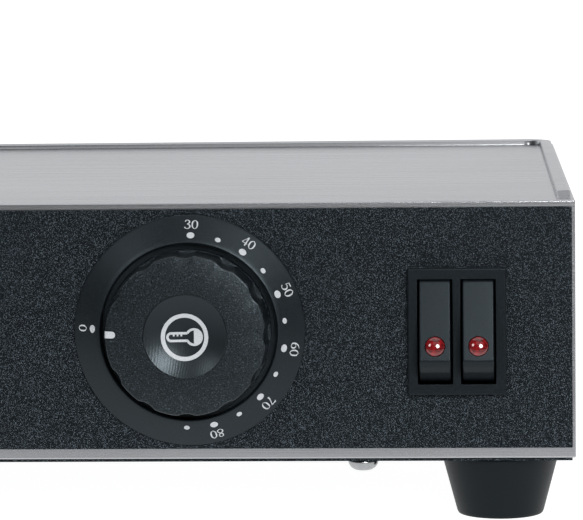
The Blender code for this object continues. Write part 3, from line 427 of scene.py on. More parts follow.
def box_between(name, low, high):
    low, high = Vector(low), Vector(high)
    shape = bmesh.new()
    bmesh.ops.create_cube(shape, size=1)
    bmesh.ops.scale(shape, vec=high - low, verts=shape.verts)
    bmesh.ops.translate(shape, vec=(low + high) / 2, verts=shape.verts)
    return add_mesh(name, shape)


def rod(name, radius, length, place, turn, sides=48):
    shape = bmesh.new()
    bmesh.ops.create_cone(
        shape, cap_ends=True, segments=sides, radius1=radius, radius2=radius, depth=length
    )
    return add_mesh(name, shape, place, turn)


def rounded(profile, radius, closed=False, steps=4):
    """A profile whose corners are replaced by small arcs, as far as their sides allow."""
    points = [Vector(p) for p in profile]
    count = len(points)
    result = []
    for i, corner in enumerate(points):
        if not closed and i in (0, count - 1):
            result.append(corner)
            continue
        before, after = points[i - 1], points[(i + 1) % count]
        reach = min(radius, (before - corner).length * 0.45, (after - corner).length * 0.45)
        start = corner + (before - corner).normalized() * reach
        end = corner + (after - corner).normalized() * reach
        for step in range(steps + 1):
            t = step / steps
            result.append(start.lerp(corner, t).lerp(corner.lerp(end, t), t))
    return result


def lathe(name, profile, place, turn, steps=128, closed=False):
    """A profile of (radius, height), listed down its outer side, turned about local Z."""
    shape = bmesh.new()
    rows = []
    for radius, height in profile:
        if radius < TINY:
            rows.append([shape.verts.new((0, 0, height))] * steps)
            continue
        angles = [2 * math.pi * i / steps for i in range(steps)]
        rows.append([add_turned(shape, radius, angle, height) for angle in angles])
    join_rows(shape, rows + rows[:1] if closed else rows)
    return add_mesh(name, shape, place, turn)


def add_turned(shape, radius, angle, height):
    """A vertex at this distance from local Z, at this angle and height."""
    return shape.verts.new((radius * math.cos(angle), radius * math.sin(angle), height))


def join_rows(shape, rows):
    """Faces between neighbouring rows of a turned shape, with triangles at its poles."""
    steps = len(rows[0])
    for upper, lower in zip(rows, rows[1:]):
        for i in range(steps):
            j = (i + 1) % steps
            ring = [upper[i], lower[i], lower[j], upper[j]]
            corners = [v for k, v in enumerate(ring) if v not in ring[:k]]
            if len(corners) > 2:
                shape.faces.new(corners)
    bmesh.ops.recalc_face_normals(shape, faces=shape.faces)


def join_rails(shape, rails):
    """Faces between the neighbouring sections of a swept shape, and one at each end."""
    count = len(rails[0])
    for first, second in zip(rails, rails[1:]):
        for k in range(count):
            j = (k + 1) % count
            shape.faces.new((first[k], second[k], second[j], first[j]))
    shape.faces.new(rails[0])
    shape.faces.new(list(reversed(rails[-1])))


def arc(centre, radius, start, end, count):
    """Points of an arc in a plane, from one angle in degrees to another."""
    points = []
    for i in range(count):
        angle = math.radians(start + (end - start) * i / (count - 1))
        across, up = radius * math.cos(angle), radius * math.sin(angle)
        points.append(Vector((centre[0] + across, centre[1] + up)))
    return points


def smooth_path(knots):
    """A Catmull-Rom path through knots of any dimension."""
    per_span = 6
    knots = [Vector(k) for k in knots]
    knots = [2 * knots[0] - knots[1], *knots, 2 * knots[-1] - knots[-2]]
    path = []
    for i in range(1, len(knots) - 2):
        before, start, end, after = knots[i - 1 : i + 3]
        for step in range(per_span):
            t = step / per_span
            linear = (end - before) * t
            square = (2 * before - 5 * start + 4 * end - after) * t * t
            cube = (3 * start - before - 3 * end + after) * t**3
            path.append(start + (linear + square + cube) / 2)
    path.append(knots[-2])
    return path


# Case


def swept(name, path, profile):
    """A closed profile of (across, up) swept along a path, with flat ends."""
    shape = bmesh.new()
    rails = []
    for i, point in enumerate(path):
        ahead, behind = Vector(path[min(i + 1, len(path) - 1)]), Vector(path[max(i - 1, 0)])
        run = ahead - behind
        run.z = 0
        run.normalize()
        side = Vector((-run.y, run.x, 0))
        corners = [Vector(point) + side * across + Vector((0, 0, up)) for across, up in profile]
        rails.append([shape.verts.new(corner) for corner in corners])
    join_rails(shape, rails)
    bmesh.ops.recalc_face_normals(shape, faces=shape.faces)
    return add_mesh(name, shape)


def raised_rim():
    """The rim raised along the sides and the back of the top, sinking into it at its front ends."""
    side = SHELL_HIGH.x - RIM_INSET
    rear = SHELL_HIGH.y - RIM_INSET
    front = SHELL_LOW.y + 2 * RIM_INSET
    right = arc((side - RIM_TURN, rear - RIM_TURN), RIM_TURN, 0, 90, 13)
    left = arc((RIM_TURN - side, rear - RIM_TURN), RIM_TURN, 90, 180, 13)
    sunk = TOP_Z - RIM_HEIGHT - 0.3 * MM
    start, risen = front - RIM_RISE * 0.3, front + RIM_RISE
    path = [(side, start, sunk), (side, risen, TOP_Z)]
    path += [(x, y, TOP_Z) for x, y in right + left]
    path += [(-side, risen, TOP_Z), (-side, start, sunk)]
    profile = [
        (-RIM_HALF_WIDTH, -RIM_ROOT),
        (-RIM_HALF_WIDTH, RIM_HEIGHT),
        (RIM_HALF_WIDTH - 0.2 * MM, RIM_HEIGHT),
        (RIM_HALF_WIDTH + 0.6 * MM, -RIM_ROOT),
    ]
    return swept("raised_rim", path, rounded(profile, 0.85 * MM, True, 6))


def folded_cover():
    """The sheet steel cover with tight bends, its flange, openings and rim."""
    low = SHELL_LOW
    high = Vector((SHELL_HIGH.x, SHELL_HIGH.y, TOP_Z))
    sheet = Vector((SHEET, SHEET, SHEET))
    cover = box_between("cover_folded", low, high)
    bevel(cover, BEND_RADIUS, 6)
    freeze(cover)
    inside = box_between("inside", low + sheet, high - sheet)
    mouth_low = low + Vector((FLANGE, FLANGE, -SHEET))
    mouth_high = Vector((high.x - FLANGE, high.y - FLANGE, low.z + 3 * SHEET))
    boolean(cover, [inside, box_between("mouth", mouth_low, mouth_high)])
    boolean(cover, [raised_rim()], "UNION")
    boolean(cover, cover_cutters())
    smooth(cover, 30)
    dress(cover, "brushed_steel", "brushed_steel", "case", "top_shell")


def body_cutter(name, centre, body):
    """A box cutter through a wall for a body of this half size, with a gap around it."""
    reach = body + Vector((CUT_GAP, CUT_DEPTH / 2, CUT_GAP))
    return box_between(name, centre - reach, centre + reach)


def cover_cutters():
    """What the cover is open for: shaft, switch, inlet, vents and screws."""
    front_y, back_y = SHELL_LOW.y, SHELL_HIGH.y
    shaft = Vector((DIAL.x, front_y, DIAL.z))
    cutters = [rod("shaft_hole", SHAFT_HOLE, CUT_DEPTH, shaft, FACING_USER)]
    for x in (-THERMOSTAT_HOLE_X, THERMOSTAT_HOLE_X):
        place = shaft + Vector((x, 0, 0))
        cutters.append(rod("screw_hole", THERMOSTAT_HOLE, CUT_DEPTH, place, FACING_USER, 16))
    switch = Vector((SWITCH.x, front_y, SWITCH.z))
    cutters.append(body_cutter("switch_cut", switch, SWITCH_BODY))
    inlet_low, inlet_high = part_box("inlet_housing")
    inlet = (inlet_low + inlet_high) / 2
    inlet.y = back_y
    cutters.append(body_cutter("inlet_cut", inlet, INLET_BODY))
    for x in (-INLET_HOLE_X, INLET_HOLE_X):
        place = inlet + Vector((x, 0, 0))
        cutters.append(rod("inlet_hole", INLET_HOLE, CUT_DEPTH, place, FACING_BACK, 16))
    for i in range(VENTS):
        slot = Vector(((i - VENTS // 2) * VENT_PITCH, back_y, VENT_Z))
        cutters.append(box_between("vent_cut", slot - VENT, slot + VENT))
    for node in [n for n in NODES if n.startswith("cover_screw_")]:
        screw_low, screw_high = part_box(node)
        place = (screw_low + screw_high) / 2
        place.z = SHELL_LOW.z
        cutters.append(rod("cover_hole", COVER_HOLE, CUT_DEPTH, place, Matrix.Identity(4), 16))
    return cutters


def coated_panel():
    """The textured strip, its edges just broken."""
    panel = box_between("panel_coated", PANEL_LOW, PANEL_HIGH)
    bevel(panel, PANEL_EDGE, 3)
    dial = rod("dial_cut", DIAL_HOLE, CUT_DEPTH, DIAL, FACING_USER, 96)
    switch = body_cutter("switch_cut", Vector((SWITCH.x, PANEL_Y, SWITCH.z)), SWITCH_BODY)
    boolean(panel, [dial, switch])
    smooth(panel)
    dress(panel, "textured_black", "textured_black", "case", "control_panel")


def rubber_foot(node):
    """A tapered foot with a rounded base and its screw recess."""
    low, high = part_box(node)
    top = (high.x - low.x) / 2
    height = high.z - low.z
    profile = [
        (top, height),
        (top - 0.2 * MM, height - 1.2 * MM),
        (FOOT_BASE, 0.7 * MM),
        (FOOT_BASE - 0.4 * MM, 0),
        (FOOT_RECESS, 0),
        (FOOT_RECESS, FOOT_RECESS_DEPTH),
        (FOOT_HOLE, FOOT_RECESS_DEPTH),
        (FOOT_HOLE, height),
    ]
    place = ((low.x + high.x) / 2, (low.y + high.y) / 2, 0)
    name = node.replace("foot", "rubber_foot")
    foot = lathe(name, rounded(profile, 0.35 * MM, True), place, Matrix.Identity(4), 96, True)
    smooth(foot, 50)
    dress(foot, "rubber_black", "rubber_black", "case", node)


def pan_head_screw(node, radius, height, shank_radius, shank, turn):
    """A pan head of this radius and height with a hexagon socket, and a plain shank."""
    low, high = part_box(node)
    seat = (low + high) / 2
    if turn == FACING_DOWN:
        seat.z = low.z + height
    else:
        seat.y = high.y - height
    profile = [(radius * across, height * up) for across, up in PAN_HEAD]
    profile += [(radius - 0.15 * MM, 0), (shank_radius, 0), (shank_radius, -shank), (0, -shank)]
    screw = lathe(node.replace("screw", "pan_screw"), rounded(profile, 0.3 * MM), seat, turn, 48)
    crown = seat + turn.to_3x3() @ Vector((0, 0, height))
    boolean(screw, [rod("socket", radius * 0.42, height * 1.1, crown, turn, 6)])
    smooth(screw, 40)
    dress(screw, "screw_steel", "screw_steel", "case", node)


# Dial


def bezel_ring():
    """The ring whose cone carries the printed scale."""
    base = PANEL_Y - BEZEL_HIGH.y
    profile = [
        (BEZEL_LIP, BEZEL_HEIGHT),
        (CONE_INNER.x, CONE_INNER.y),
        (CONE_OUTER.x, CONE_OUTER.y),
        (BEZEL_RADIUS, 0.8 * MM),
        (BEZEL_RADIUS, base),
        (BEZEL_HOLE, base),
        (BEZEL_HOLE, BEZEL_FLOOR),
        (BEZEL_BORE, BEZEL_FLOOR),
        (BEZEL_BORE, BEZEL_HEIGHT - 0.3 * MM),
    ]
    ring = lathe("bezel_ring", rounded(profile, 0.35 * MM, True), DIAL, FACING_USER, 256, True)
    smooth(ring, 60)
    dress(ring, "satin_black", "satin_black", "case", "dial_bezel")


def cone_frame(angle, radius):
    """The place on the bezel's cone at this angle and radius: X is clockwise and Y outwards."""
    slope = math.atan2(CONE_INNER.y - CONE_OUTER.y, CONE_OUTER.x - CONE_INNER.x)
    height = CONE_INNER.y - (radius - CONE_INNER.x) * math.tan(slope) + PRINT_LIFT
    outwards = Vector((math.cos(angle), 0, math.sin(angle)))
    clockwise = Vector((math.sin(angle), 0, -math.cos(angle)))
    along = outwards * math.cos(slope) + Vector((0, math.sin(slope), 0))
    normal = clockwise.cross(along)
    place = DIAL + outwards * radius + Vector((0, -height, 0))
    turned = Matrix((clockwise, along, normal)).transposed().to_4x4()
    return Matrix.Translation(place) @ turned


def scale_angle(temperature):
    """0 is on the left; from 30, at the top, the scale runs clockwise to 85, at the bottom."""
    if temperature == 0:
        return math.pi - SCALE_TURN
    return math.pi / 2 - math.pi * (temperature - 30) / 55 - SCALE_TURN


def add_disc(shape, matrix, radius_x, radius_y):
    made = bmesh.ops.create_cone(
        shape, cap_ends=True, segments=24, radius1=1, radius2=1, depth=PRINT_THICKNESS
    )["verts"]
    bmesh.ops.scale(shape, vec=(radius_x, radius_y, 1), verts=made)
    bmesh.ops.transform(shape, matrix=matrix, verts=made)


def scale_dots():
    """A large dot at each ten degrees and a small one between."""
    shape = bmesh.new()
    for temperature in [0, *range(30, 90, 5)]:
        size = SMALL_DOT if temperature % 10 else LARGE_DOT
        add_disc(shape, cone_frame(scale_angle(temperature), DOT_RADIUS), *size)
    dots = add_mesh("scale_dots", shape)
    dress(dots, "print_white", "satin_black", "case")


DIGITS = {  # strokes of (x, y, width) in units of the digit's height
    "0": [
        [(0.27, 0.97, 0.05), (0.45, 0.78, 0.11), (0.49, 0.5, 0.13), (0.45, 0.22, 0.11),
         (0.27, 0.03, 0.05), (0.09, 0.22, 0.11), (0.05, 0.5, 0.13), (0.09, 0.78, 0.11),
         (0.27, 0.97, 0.05)],
    ],
    "3": [
        [(0.06, 0.80, 0.12), (0.12, 0.93, 0.06), (0.26, 0.97, 0.06), (0.41, 0.85, 0.11),
         (0.40, 0.66, 0.11), (0.20, 0.53, 0.05)],
        [(0.20, 0.53, 0.05), (0.41, 0.44, 0.10), (0.48, 0.26, 0.13), (0.38, 0.08, 0.09),
         (0.22, 0.03, 0.06), (0.07, 0.09, 0.07), (0.04, 0.20, 0.12)],
    ],
    "4": [
        [(0.37, 1.0, 0.05), (0.20, 0.64, 0.05), (0.03, 0.28, 0.05)],
        [(0.02, 0.27, 0.07), (0.28, 0.27, 0.07), (0.53, 0.27, 0.07)],
        [(0.38, 1.0, 0.12), (0.38, 0.5, 0.12), (0.38, 0.0, 0.12)],
    ],
    "5": [
        [(0.12, 0.94, 0.11), (0.28, 0.94, 0.11), (0.46, 0.97, 0.11)],
        [(0.12, 0.97, 0.05), (0.10, 0.76, 0.05), (0.08, 0.56, 0.05)],
        [(0.08, 0.58, 0.05), (0.28, 0.63, 0.07), (0.46, 0.48, 0.12), (0.46, 0.22, 0.13),
         (0.30, 0.04, 0.07), (0.10, 0.06, 0.07), (0.05, 0.17, 0.12)],
    ],
    "6": [
        [(0.46, 0.97, 0.04), (0.22, 0.83, 0.08), (0.07, 0.52, 0.12), (0.08, 0.20, 0.12),
         (0.27, 0.03, 0.05), (0.45, 0.16, 0.11), (0.46, 0.42, 0.11), (0.30, 0.58, 0.05),
         (0.11, 0.47, 0.04)],
    ],
    "7": [
        [(0.05, 0.80, 0.05), (0.05, 0.88, 0.07), (0.05, 0.95, 0.08)],
        [(0.05, 0.94, 0.11), (0.28, 0.94, 0.11), (0.52, 0.94, 0.11)],
        [(0.50, 0.95, 0.05), (0.36, 0.62, 0.07), (0.24, 0.30, 0.11), (0.21, 0.0, 0.13)],
    ],
    "8": [
        [(0.27, 0.97, 0.05), (0.43, 0.87, 0.09), (0.41, 0.67, 0.08), (0.26, 0.53, 0.11),
         (0.08, 0.38, 0.09), (0.06, 0.17, 0.10), (0.27, 0.03, 0.05), (0.48, 0.17, 0.10),
         (0.45, 0.38, 0.08), (0.26, 0.53, 0.11), (0.11, 0.68, 0.09), (0.11, 0.87, 0.08),
         (0.27, 0.97, 0.05)],
    ],
}


def add_ribbon(shape, knots, place, closed=False):
    """A flat stroke of varying width. place() puts a point of its plane, and a lift, in space."""
    path = smooth_path(knots)
    rails = []
    for i, point in enumerate(path):
        ahead = path[min(i + 1, len(path) - 1)]
        behind = path[max(i - 1, 0)]
        if closed and i in (0, len(path) - 1):
            ahead, behind = path[1], path[-2]
        run = Vector((ahead.x - behind.x, ahead.y - behind.y)).normalized()
        side = Vector((-run.y, run.x)) * point.z / 2
        corners = []
        for sign, lift in ((1, PRINT_THICKNESS), (-1, PRINT_THICKNESS), (-1, 0), (1, 0)):
            x, y = point.x + sign * side.x, point.y + sign * side.y
            corners.append(shape.verts.new(place(x, y, lift)))
        rails.append(corners)
    join_rails(shape, rails)


def scale_digits():
    """The printed numbers, upright towards the rim of the cone."""
    shape = bmesh.new()
    for temperature in (0, 30, 40, 50, 60, 70, 80):
        text = str(temperature)
        matrix = cone_frame(scale_angle(temperature), LABEL_RADIUS)
        width = DIGIT_WIDTH + DIGIT_STEP * (len(text) - 1)
        for position, character in enumerate(text):
            start = position * DIGIT_STEP - width / 2

            def place(x, y, lift, start=start, matrix=matrix):
                across = (x + start) * DIGIT_HEIGHT * DIGIT_STRETCH
                return matrix @ Vector((across, (y - 0.5) * DIGIT_HEIGHT, lift))

            for stroke in DIGITS[character]:
                closed = (Vector(stroke[0]) - Vector(stroke[-1])).length < 0.01
                add_ribbon(shape, stroke, place, closed)
    bmesh.ops.recalc_face_normals(shape, faces=shape.faces)
    digits = add_mesh("scale_digits", shape)
    dress(digits, "print_white", "satin_black", "case")


# Knob


def knob_outline(angle):
    """The grip's radius at this angle: a circle with shallow round flutes, none on the left."""
    pitch = 2 * math.pi / FLUTES
    ring = KNOB_FACE + FLUTE_RADIUS - FLUTE_DEPTH
    nearest = round((angle - math.pi) / pitch)
    if nearest % FLUTES == 0:
        return KNOB_FACE
    offset = angle - math.pi - nearest * pitch
    across = ring * math.sin(offset)
    if abs(across) >= FLUTE_RADIUS:
        return KNOB_FACE
    hit = ring * math.cos(offset) - math.sqrt(FLUTE_RADIUS**2 - across**2)
    blend = max(0.0, min(1.0, 0.5 + 0.5 * (KNOB_FACE - hit) / FLUTE_BLEND))
    return KNOB_FACE * (1 - blend) + hit * blend - FLUTE_BLEND * blend * (1 - blend)


def knob_rows():
    """The knob's surface from the cap's seat outwards and down, as (kind, value, height).

    The value is a radius in a fixed row, the share of the way from the seat to the edge in a face
    row, the distance inside the outline in an edge row, and the distance outside it in a wall row.
    """
    rows = [("fixed", CAP_SEAT, SEAT_LOW), ("fixed", CAP_SEAT, KNOB_HEIGHT - 0.12 * MM)]
    for share in (0.004, 0.03, 0.15, 0.3, 0.5, 0.7, 0.85, 0.95, 1.0):
        rows.append(("face", share, KNOB_HEIGHT - FACE_DROP * share * share))
    for i in range(1, 7):
        turn = math.radians(15 * i)
        height = GRIP_TOP + FACE_EDGE * math.cos(turn)
        rows.append(("edge", FACE_EDGE * (1 - math.sin(turn)), height))
    for i in range(1, 5):
        rows.append(("wall", GRIP_TAPER * i / 4, GRIP_TOP + (GRIP_LOW - GRIP_TOP) * i / 4))
    ledge = KNOB_SKIRT - 0.35 * MM
    rows.append(("fixed", ledge, GRIP_LOW - 0.05 * MM))
    skirt = [
        (ledge, GRIP_LOW - 0.1 * MM),
        (KNOB_SKIRT, SKIRT_TOP),
        (KNOB_SKIRT, SKIRT_LOW),
        (KNOB_SKIRT - 2.2 * MM, SKIRT_LOW),
        (KNOB_SKIRT - 3 * MM, HOLLOW_TOP),
        (HUB_RADIUS, HOLLOW_TOP),
        (HUB_RADIUS, HUB_LOW),
        (BORE_RADIUS, HUB_LOW),
        (BORE_RADIUS, BORE_TOP),
        (0, BORE_TOP),
    ]
    return rows + [("fixed", radius, height) for radius, height in rounded(skirt, 0.25 * MM)]


def knob_radius(kind, value, angle):
    """The radius at this angle of a row from knob_rows()."""
    if kind == "fixed":
        return value
    outline = knob_outline(angle)
    if kind == "face":
        return CAP_SEAT + (outline - FACE_EDGE - CAP_SEAT) * value
    return outline - value if kind == "edge" else outline + value


def knob_grip():
    """Face, fluted grip and skirt as one closed surface, with a seat for the cap."""
    steps = FLUTES * 60
    rows = knob_rows()
    shape = bmesh.new()
    rings = []
    for kind, value, height in rows:
        if kind == "fixed" and value < TINY:
            rings.append([shape.verts.new((0, 0, height))] * steps)
            continue
        angles = [2 * math.pi * i / steps for i in range(steps)]
        rings.append([add_turned(shape, knob_radius(kind, value, a), a, height) for a in angles])
    floor = [shape.verts.new((0, 0, SEAT_LOW))] * steps
    join_rows(shape, [floor, *rings])
    knob = add_mesh("knob_grip", shape, DIAL, FACING_USER)
    knob.data.shade_smooth()
    knob.data.set_sharp_from_angle(angle=math.radians(40))
    dress(knob, "grip_black", "satin_black", "dial_knob", "knob")


def dish_height(radius):
    low = KNOB_HEIGHT + 0.1 * MM - DISH_DEPTH
    share = min(radius / (CAP_RADIUS - 0.2 * MM), 1)
    return low + DISH_DEPTH * share**2


def knob_dish():
    """The dished cap."""
    steps = 24
    radii = [DISH_EDGE * i / steps for i in range(steps + 1)]
    profile = [(radius, dish_height(radius)) for radius in radii]
    profile += [(CAP_RADIUS, KNOB_HEIGHT - 0.02 * MM), (CAP_RADIUS, CAP_LOW), (0, CAP_LOW)]
    cap = lathe("knob_dish", profile, DIAL, FACING_USER, 192)
    smooth(cap, 40)
    dress(cap, "dish_black", "satin_black", "dial_knob", "knob_cap")


def on_dish(x, y, lift):
    """A point of the dish's print, which sits slightly off centre: x to the right, y up."""
    x, y = x - 0.25 * MM, y - 0.35 * MM
    return DIAL + Vector((x, -dish_height(math.hypot(x, y)) - PRINT_LIFT - lift, y))


def knob_symbol():
    """A ring around a generic thermometer that lies on its side, bulb to the right."""
    ring_line, line, tick_line = 1.2 * MM, 0.72 * MM, 0.5 * MM
    bulb, bulb_radius = Vector((2.7 * MM, 0)), 2.25 * MM
    stem, stem_end = 1.1 * MM, -3.9 * MM
    shape = bmesh.new()
    ring = [(x, y, ring_line) for x, y in arc((0, 0), 6.3 * MM, 0, 360, 25)]
    add_ribbon(shape, ring, on_dish, True)
    opening = math.degrees(math.asin(stem / bulb_radius))
    outline = [(x, y, line) for x, y in arc(bulb, bulb_radius, 180 - opening, opening - 180, 15)]
    outline.append((0, -stem, line))
    outline += [(x, y, line) for x, y in arc((stem_end, 0), stem, 270, 90, 9)]
    outline += [(0, stem, line), outline[0]]
    add_ribbon(shape, outline, on_dish)
    fill = ((2.65, 3.7), (3.3, 3.6), (4.0, 2.9), (4.6, 1.6))  # place and width, in millimetres
    add_ribbon(shape, [(x * MM, 0, width * MM) for x, width in fill], on_dish)
    for x in (-3.2 * MM, -2.1 * MM, -1.0 * MM):
        tick = [(x, y, tick_line) for y in (0.9 * MM, 0.55 * MM, 0.2 * MM)]
        add_ribbon(shape, tick, on_dish)
    bmesh.ops.recalc_face_normals(shape, faces=shape.faces)
    symbol = add_mesh("knob_symbol", shape)
    dress(symbol, "print_white", "satin_black", "dial_knob")


def on_knob(x, y, lift):
    """A point of the pointer's print: x runs outwards over the face and on down the grip."""
    lift += PRINT_LIFT
    flat = KNOB_FACE - FACE_EDGE
    if x <= flat:
        share = (x - CAP_SEAT) / (flat - CAP_SEAT)
        return Vector((-x, y, KNOB_HEIGHT - FACE_DROP * share**2 + lift))
    turn = (x - flat) / FACE_EDGE
    if turn <= math.pi / 2:
        reach = FACE_EDGE + lift
        return Vector((-flat - reach * math.sin(turn), y, GRIP_TOP + reach * math.cos(turn)))
    down = x - flat - FACE_EDGE * math.pi / 2
    outwards = KNOB_FACE + lift + GRIP_TAPER * down / (GRIP_TOP - GRIP_LOW)
    return Vector((-outwards, y, GRIP_TOP - down))


def knob_pointer():
    """A white bar printed on the grip's left edge, round towards the middle, that folds over it."""
    half = 1.0 * MM
    inner = KNOB_FACE - 3.1 * MM
    shape = bmesh.new()
    turns = [math.radians(15 * i) for i in range(1, 7)]
    knots = [(inner + half * (1 - math.cos(a)), 0, 2 * half * math.sin(a)) for a in turns]
    knots += [(inner + half + 0.35 * MM * i, 0, 2 * half) for i in range(1, 24)]
    add_ribbon(shape, knots, on_knob)
    bmesh.ops.recalc_face_normals(shape, faces=shape.faces)
    askew = Matrix.Rotation(math.radians(-1.5), 4, "Z")
    pointer = add_mesh("knob_pointer", shape, DIAL, FACING_USER @ askew)
    dress(pointer, "print_white", "satin_black", "dial_knob")


# Switch


def switch_frame():
    """Frame and body of the twin switch, with two mouths that open into wider pockets."""
    face = SWITCH_LOW.y
    body_low = (SWITCH.x - SWITCH_BODY.x, face + FRAME_DEPTH / 2, SWITCH.z - SWITCH_BODY.z)
    body_high = (SWITCH.x + SWITCH_BODY.x, SWITCH_HIGH.y, SWITCH.z + SWITCH_BODY.z)
    housing = box_between("switch_frame", body_low, body_high)
    rim_low = SWITCH_LOW - Vector((0.1 * MM, 0, 0.2 * MM))
    rim_high = (SWITCH_HIGH.x + 0.3 * MM, face + FRAME_DEPTH, SWITCH_HIGH.z + 0.3 * MM)
    rim = box_between("rim", rim_low, rim_high)
    bevel(rim, FRAME_EDGE, 5)
    freeze(rim)
    boolean(housing, [rim], "UNION")
    mouth = (MOUTH_HEIGHT, -CUT_DEPTH / 2, CUT_DEPTH / 2)
    pocket = (POCKET_HEIGHT, POCKET_START, POCKET_END)
    cutters = []
    for x in (SWITCH.x - ROCKER_PITCH / 2, SWITCH.x + ROCKER_PITCH / 2):
        for height, start, end in (mouth, pocket):
            low = (x - MOUTH_WIDTH, face + start, SWITCH.z - height)
            high = (x + MOUTH_WIDTH, face + end, SWITCH.z + height)
            cutters.append(box_between("mouth", low, high))
    boolean(housing, cutters)
    bevel(housing, 0.18 * MM, 3, 50)
    freeze(housing)
    smooth(housing)
    dress(housing, "switch_black", "satin_black", "case", "switch_housing")


def rocker_outline():
    """Side view about the pivot, level, as (y, z)."""
    upper = [
        (-ROCKER_FACE_OUT, ROCKER_FACE_HALF),
        (-11.0 * MM, 13.35 * MM),
        (-9.0 * MM, 14.5 * MM),
        (-5.4 * MM, 15.75 * MM),
        (-2.0 * MM, 16.3 * MM),
        (1.0 * MM, 13.0 * MM),
        (5.5 * MM, 3.0 * MM),
    ]
    return upper + [(y, -z) for y, z in reversed(upper)]


def rocker(side, offset):
    """A tilted rocker with a seat for its lens, and the lens."""
    body = f"{side}_rocker"
    pivot = Vector((SWITCH.x + offset, SWITCH.y + PIVOT_DEPTH, SWITCH.z))
    rest = Matrix.Rotation(-ROCKER_TILT, 4, "X")
    seat = pivot + rest.to_3x3() @ Vector((0, -ROCKER_FACE_OUT, -LENS_LOW))
    outline = rounded(rocker_outline(), 0.5 * MM, True, 3)
    shape = bmesh.new()
    corners = [shape.verts.new((-ROCKER_WIDTH / 2, y, z)) for y, z in outline]
    pushed = bmesh.ops.extrude_face_region(shape, geom=[shape.faces.new(corners)])["geom"]
    moved = [item for item in pushed if isinstance(item, bmesh.types.BMVert)]
    bmesh.ops.translate(shape, vec=(ROCKER_WIDTH, 0, 0), verts=moved)
    bmesh.ops.recalc_face_normals(shape, faces=shape.faces)
    paddle = add_mesh(f"rocker_paddle_{side}", shape, pivot, rest)
    bevel(paddle, 0.45 * MM, 4, 60)
    freeze(paddle)
    hole_radius = LENS_RADIUS + 0.15 * MM
    boolean(paddle, [rod("lens_hole", hole_radius, 4 * MM, seat, rest @ FACING_USER, 64)])
    smooth(paddle)
    dress(paddle, "switch_black", "satin_black", body, f"rocker_{side}")
    add_lens(side, body, seat, rest @ FACING_USER)


def add_lens(side, body, seat, turn):
    """A clear dome on a short cylinder that sits in the rocker."""
    count = 14
    profile = []
    for i in range(count):
        angle = math.pi / 2 * i / count
        profile.append((LENS_RADIUS * math.sin(angle), LENS_RISE * math.cos(angle) ** 1.15))
    profile += [(LENS_RADIUS, 0), (LENS_RADIUS, -LENS_ROOT), (0, -LENS_ROOT)]
    lens = lathe(f"lens_dome_{side}", profile, seat, turn, 64)
    smooth(lens, 50)
    dress(lens, "red_lens", "red_lens", body, f"lens_{side}")


# Carried-over nodes


def repaint_nodes():
    """Every CAD node that stays takes the look of its record slot."""
    slots = {part["node"]: part["material_slot"] for part in frame["record"]["subparts"]}
    for name, node in NODES.items():
        if not node.hide_render:
            node.data.materials.clear()
            node.data.materials.append(LOOKS[slots[name]])


# Stage


def make_floor():
    """A pale floor that curves up into a backdrop and glows under and behind the object."""
    half_width, front, back, height, turn = 4.0, -3.0, 3.0, 3.0, 1.2
    profile = [Vector((front, 0)), Vector((back - turn, 0))]
    profile += arc((back - turn, turn), turn, -90, 0, 17)[1:]
    profile.append(Vector((back, height)))
    shape = bmesh.new()
    rails = [[shape.verts.new((x, y, z)) for x in (-half_width, half_width)] for y, z in profile]
    for first, second in zip(rails, rails[1:]):
        shape.faces.new((first[0], first[1], second[1], second[0]))
    floor = add_mesh("floor", shape)
    floor.data.shade_smooth()
    look = Shader("floor_pale", (0.32, 0.32, 0.32), 0.9, Specular_IOR_Level=0.0)
    look.set(look.bsdf, "Emission Color", (1.0, 1.0, 1.0, 1.0))
    split = look.tree.nodes.new("ShaderNodeSeparateXYZ")
    look.link(look.place, split, "Vector")
    glow = look.ramp(split.outputs["Y"], GLOW_START, GLOW_END, GLOW_LOW, GLOW_HIGH)
    look.link(glow, look.bsdf, "Emission Strength")
    look.bump(look.noise(scale=30, detail=2), 0.02, 1 * MM)
    floor.data.materials.append(look.material)


def add_light(name, azimuth, elevation, distance, size, power):
    """A soft round light. Azimuth 0 is in front of the controls, and it grows to the right."""
    data = bpy.data.lights.new(name, "AREA")
    data.shape = "DISK"
    data.size = size
    data.energy = power
    light = bpy.data.objects.new(name, data)
    bpy.context.scene.collection.objects.link(light)
    turn, rise = math.radians(azimuth), math.radians(elevation)
    ahead, level = -math.cos(turn), math.cos(rise)
    away = Vector((math.sin(turn) * level, ahead * level, math.sin(rise)))
    light.location = LIGHT_TARGET + away * distance
    light.rotation_euler = away.to_track_quat("Z", "Y").to_euler()


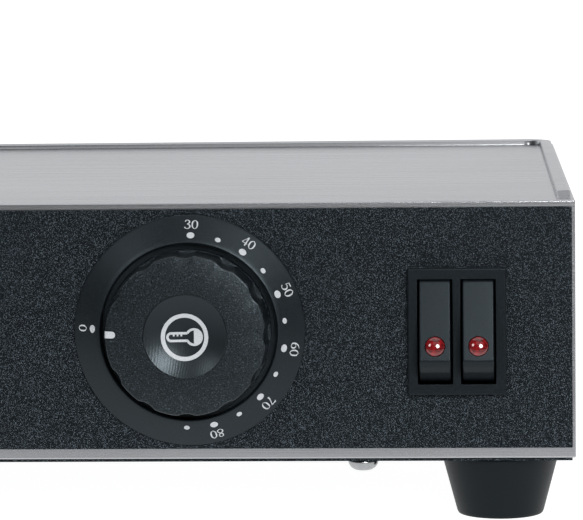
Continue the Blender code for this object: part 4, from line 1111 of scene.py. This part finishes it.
def make_lights():
    """Two keys, large soft lights in front and overhead, and a room that is paler behind."""
    add_light("key_left", azimuth=-36, elevation=27, distance=1.5, size=0.45, power=3.5)
    add_light("key_right", azimuth=20, elevation=21, distance=1.1, size=0.40, power=7.5)
    add_light("front_soft", azimuth=14, elevation=42, distance=1.6, size=1.2, power=1.5)
    add_light("overhead_soft", azimuth=0, elevation=92, distance=1.4, size=1.8, power=7)
    world = bpy.data.worlds.new("studio")
    world.use_nodes = True
    tree = world.node_tree
    place = tree.nodes.new("ShaderNodeTexCoord")
    split = tree.nodes.new("ShaderNodeSeparateXYZ")
    spread = tree.nodes.new("ShaderNodeMapRange")
    spread.inputs["From Min"].default_value = 0.0
    spread.inputs["From Max"].default_value = 0.7
    spread.inputs["To Min"].default_value = ROOM_LOW
    spread.inputs["To Max"].default_value = ROOM_HIGH
    background = tree.nodes["Background"]
    background.inputs["Color"].default_value = (0.93, 0.97, 1.0, 1.0)
    tree.links.new(place.outputs["Generated"], split.inputs["Vector"])
    tree.links.new(split.outputs["Y"], spread.inputs["Value"])
    tree.links.new(spread.outputs["Result"], background.inputs["Strength"])
    bpy.context.scene.world = world


def make_camera():
    """Slightly above and to the right of the dial, nearly level."""
    data = bpy.data.cameras.new("camera")
    data.sensor_width = 36
    data.lens = FOCAL_LENGTH
    camera = bpy.data.objects.new("camera", data)
    bpy.context.scene.collection.objects.link(camera)
    camera.location = DIAL + CAMERA_FROM_DIAL
    yaw = Matrix.Rotation(CAMERA_YAW, 4, "Z")
    pitch = Matrix.Rotation(math.pi / 2 - CAMERA_PITCH, 4, "X")
    roll = Matrix.Rotation(-CAMERA_ROLL, 4, "Z")
    camera.rotation_euler = (yaw @ pitch @ roll).to_euler()
    bpy.context.scene.camera = camera


def main():
    bpy.context.scene.view_settings.view_transform = "Standard"
    folded_cover()
    coated_panel()
    cover_screw = (4.5 * MM, 3.3 * MM, 1.9 * MM, 7.8 * MM)  # head radius and height, shank
    inlet_screw = (2.8 * MM, 1.7 * MM, 1.5 * MM, 6.8 * MM)
    for corner in CORNERS:
        rubber_foot(f"foot_{corner}")
        pan_head_screw(f"cover_screw_{corner}", *cover_screw, FACING_DOWN)
    for side in ("left", "right"):
        pan_head_screw(f"inlet_screw_{side}", *inlet_screw, FACING_BACK)
    bezel_ring()
    scale_dots()
    scale_digits()
    knob_grip()
    knob_dish()
    knob_symbol()
    knob_pointer()
    switch_frame()
    rocker("left", -ROCKER_PITCH / 2)
    rocker("right", ROCKER_PITCH / 2)
    repaint_nodes()
    make_floor()
    make_lights()
    make_camera()


main()
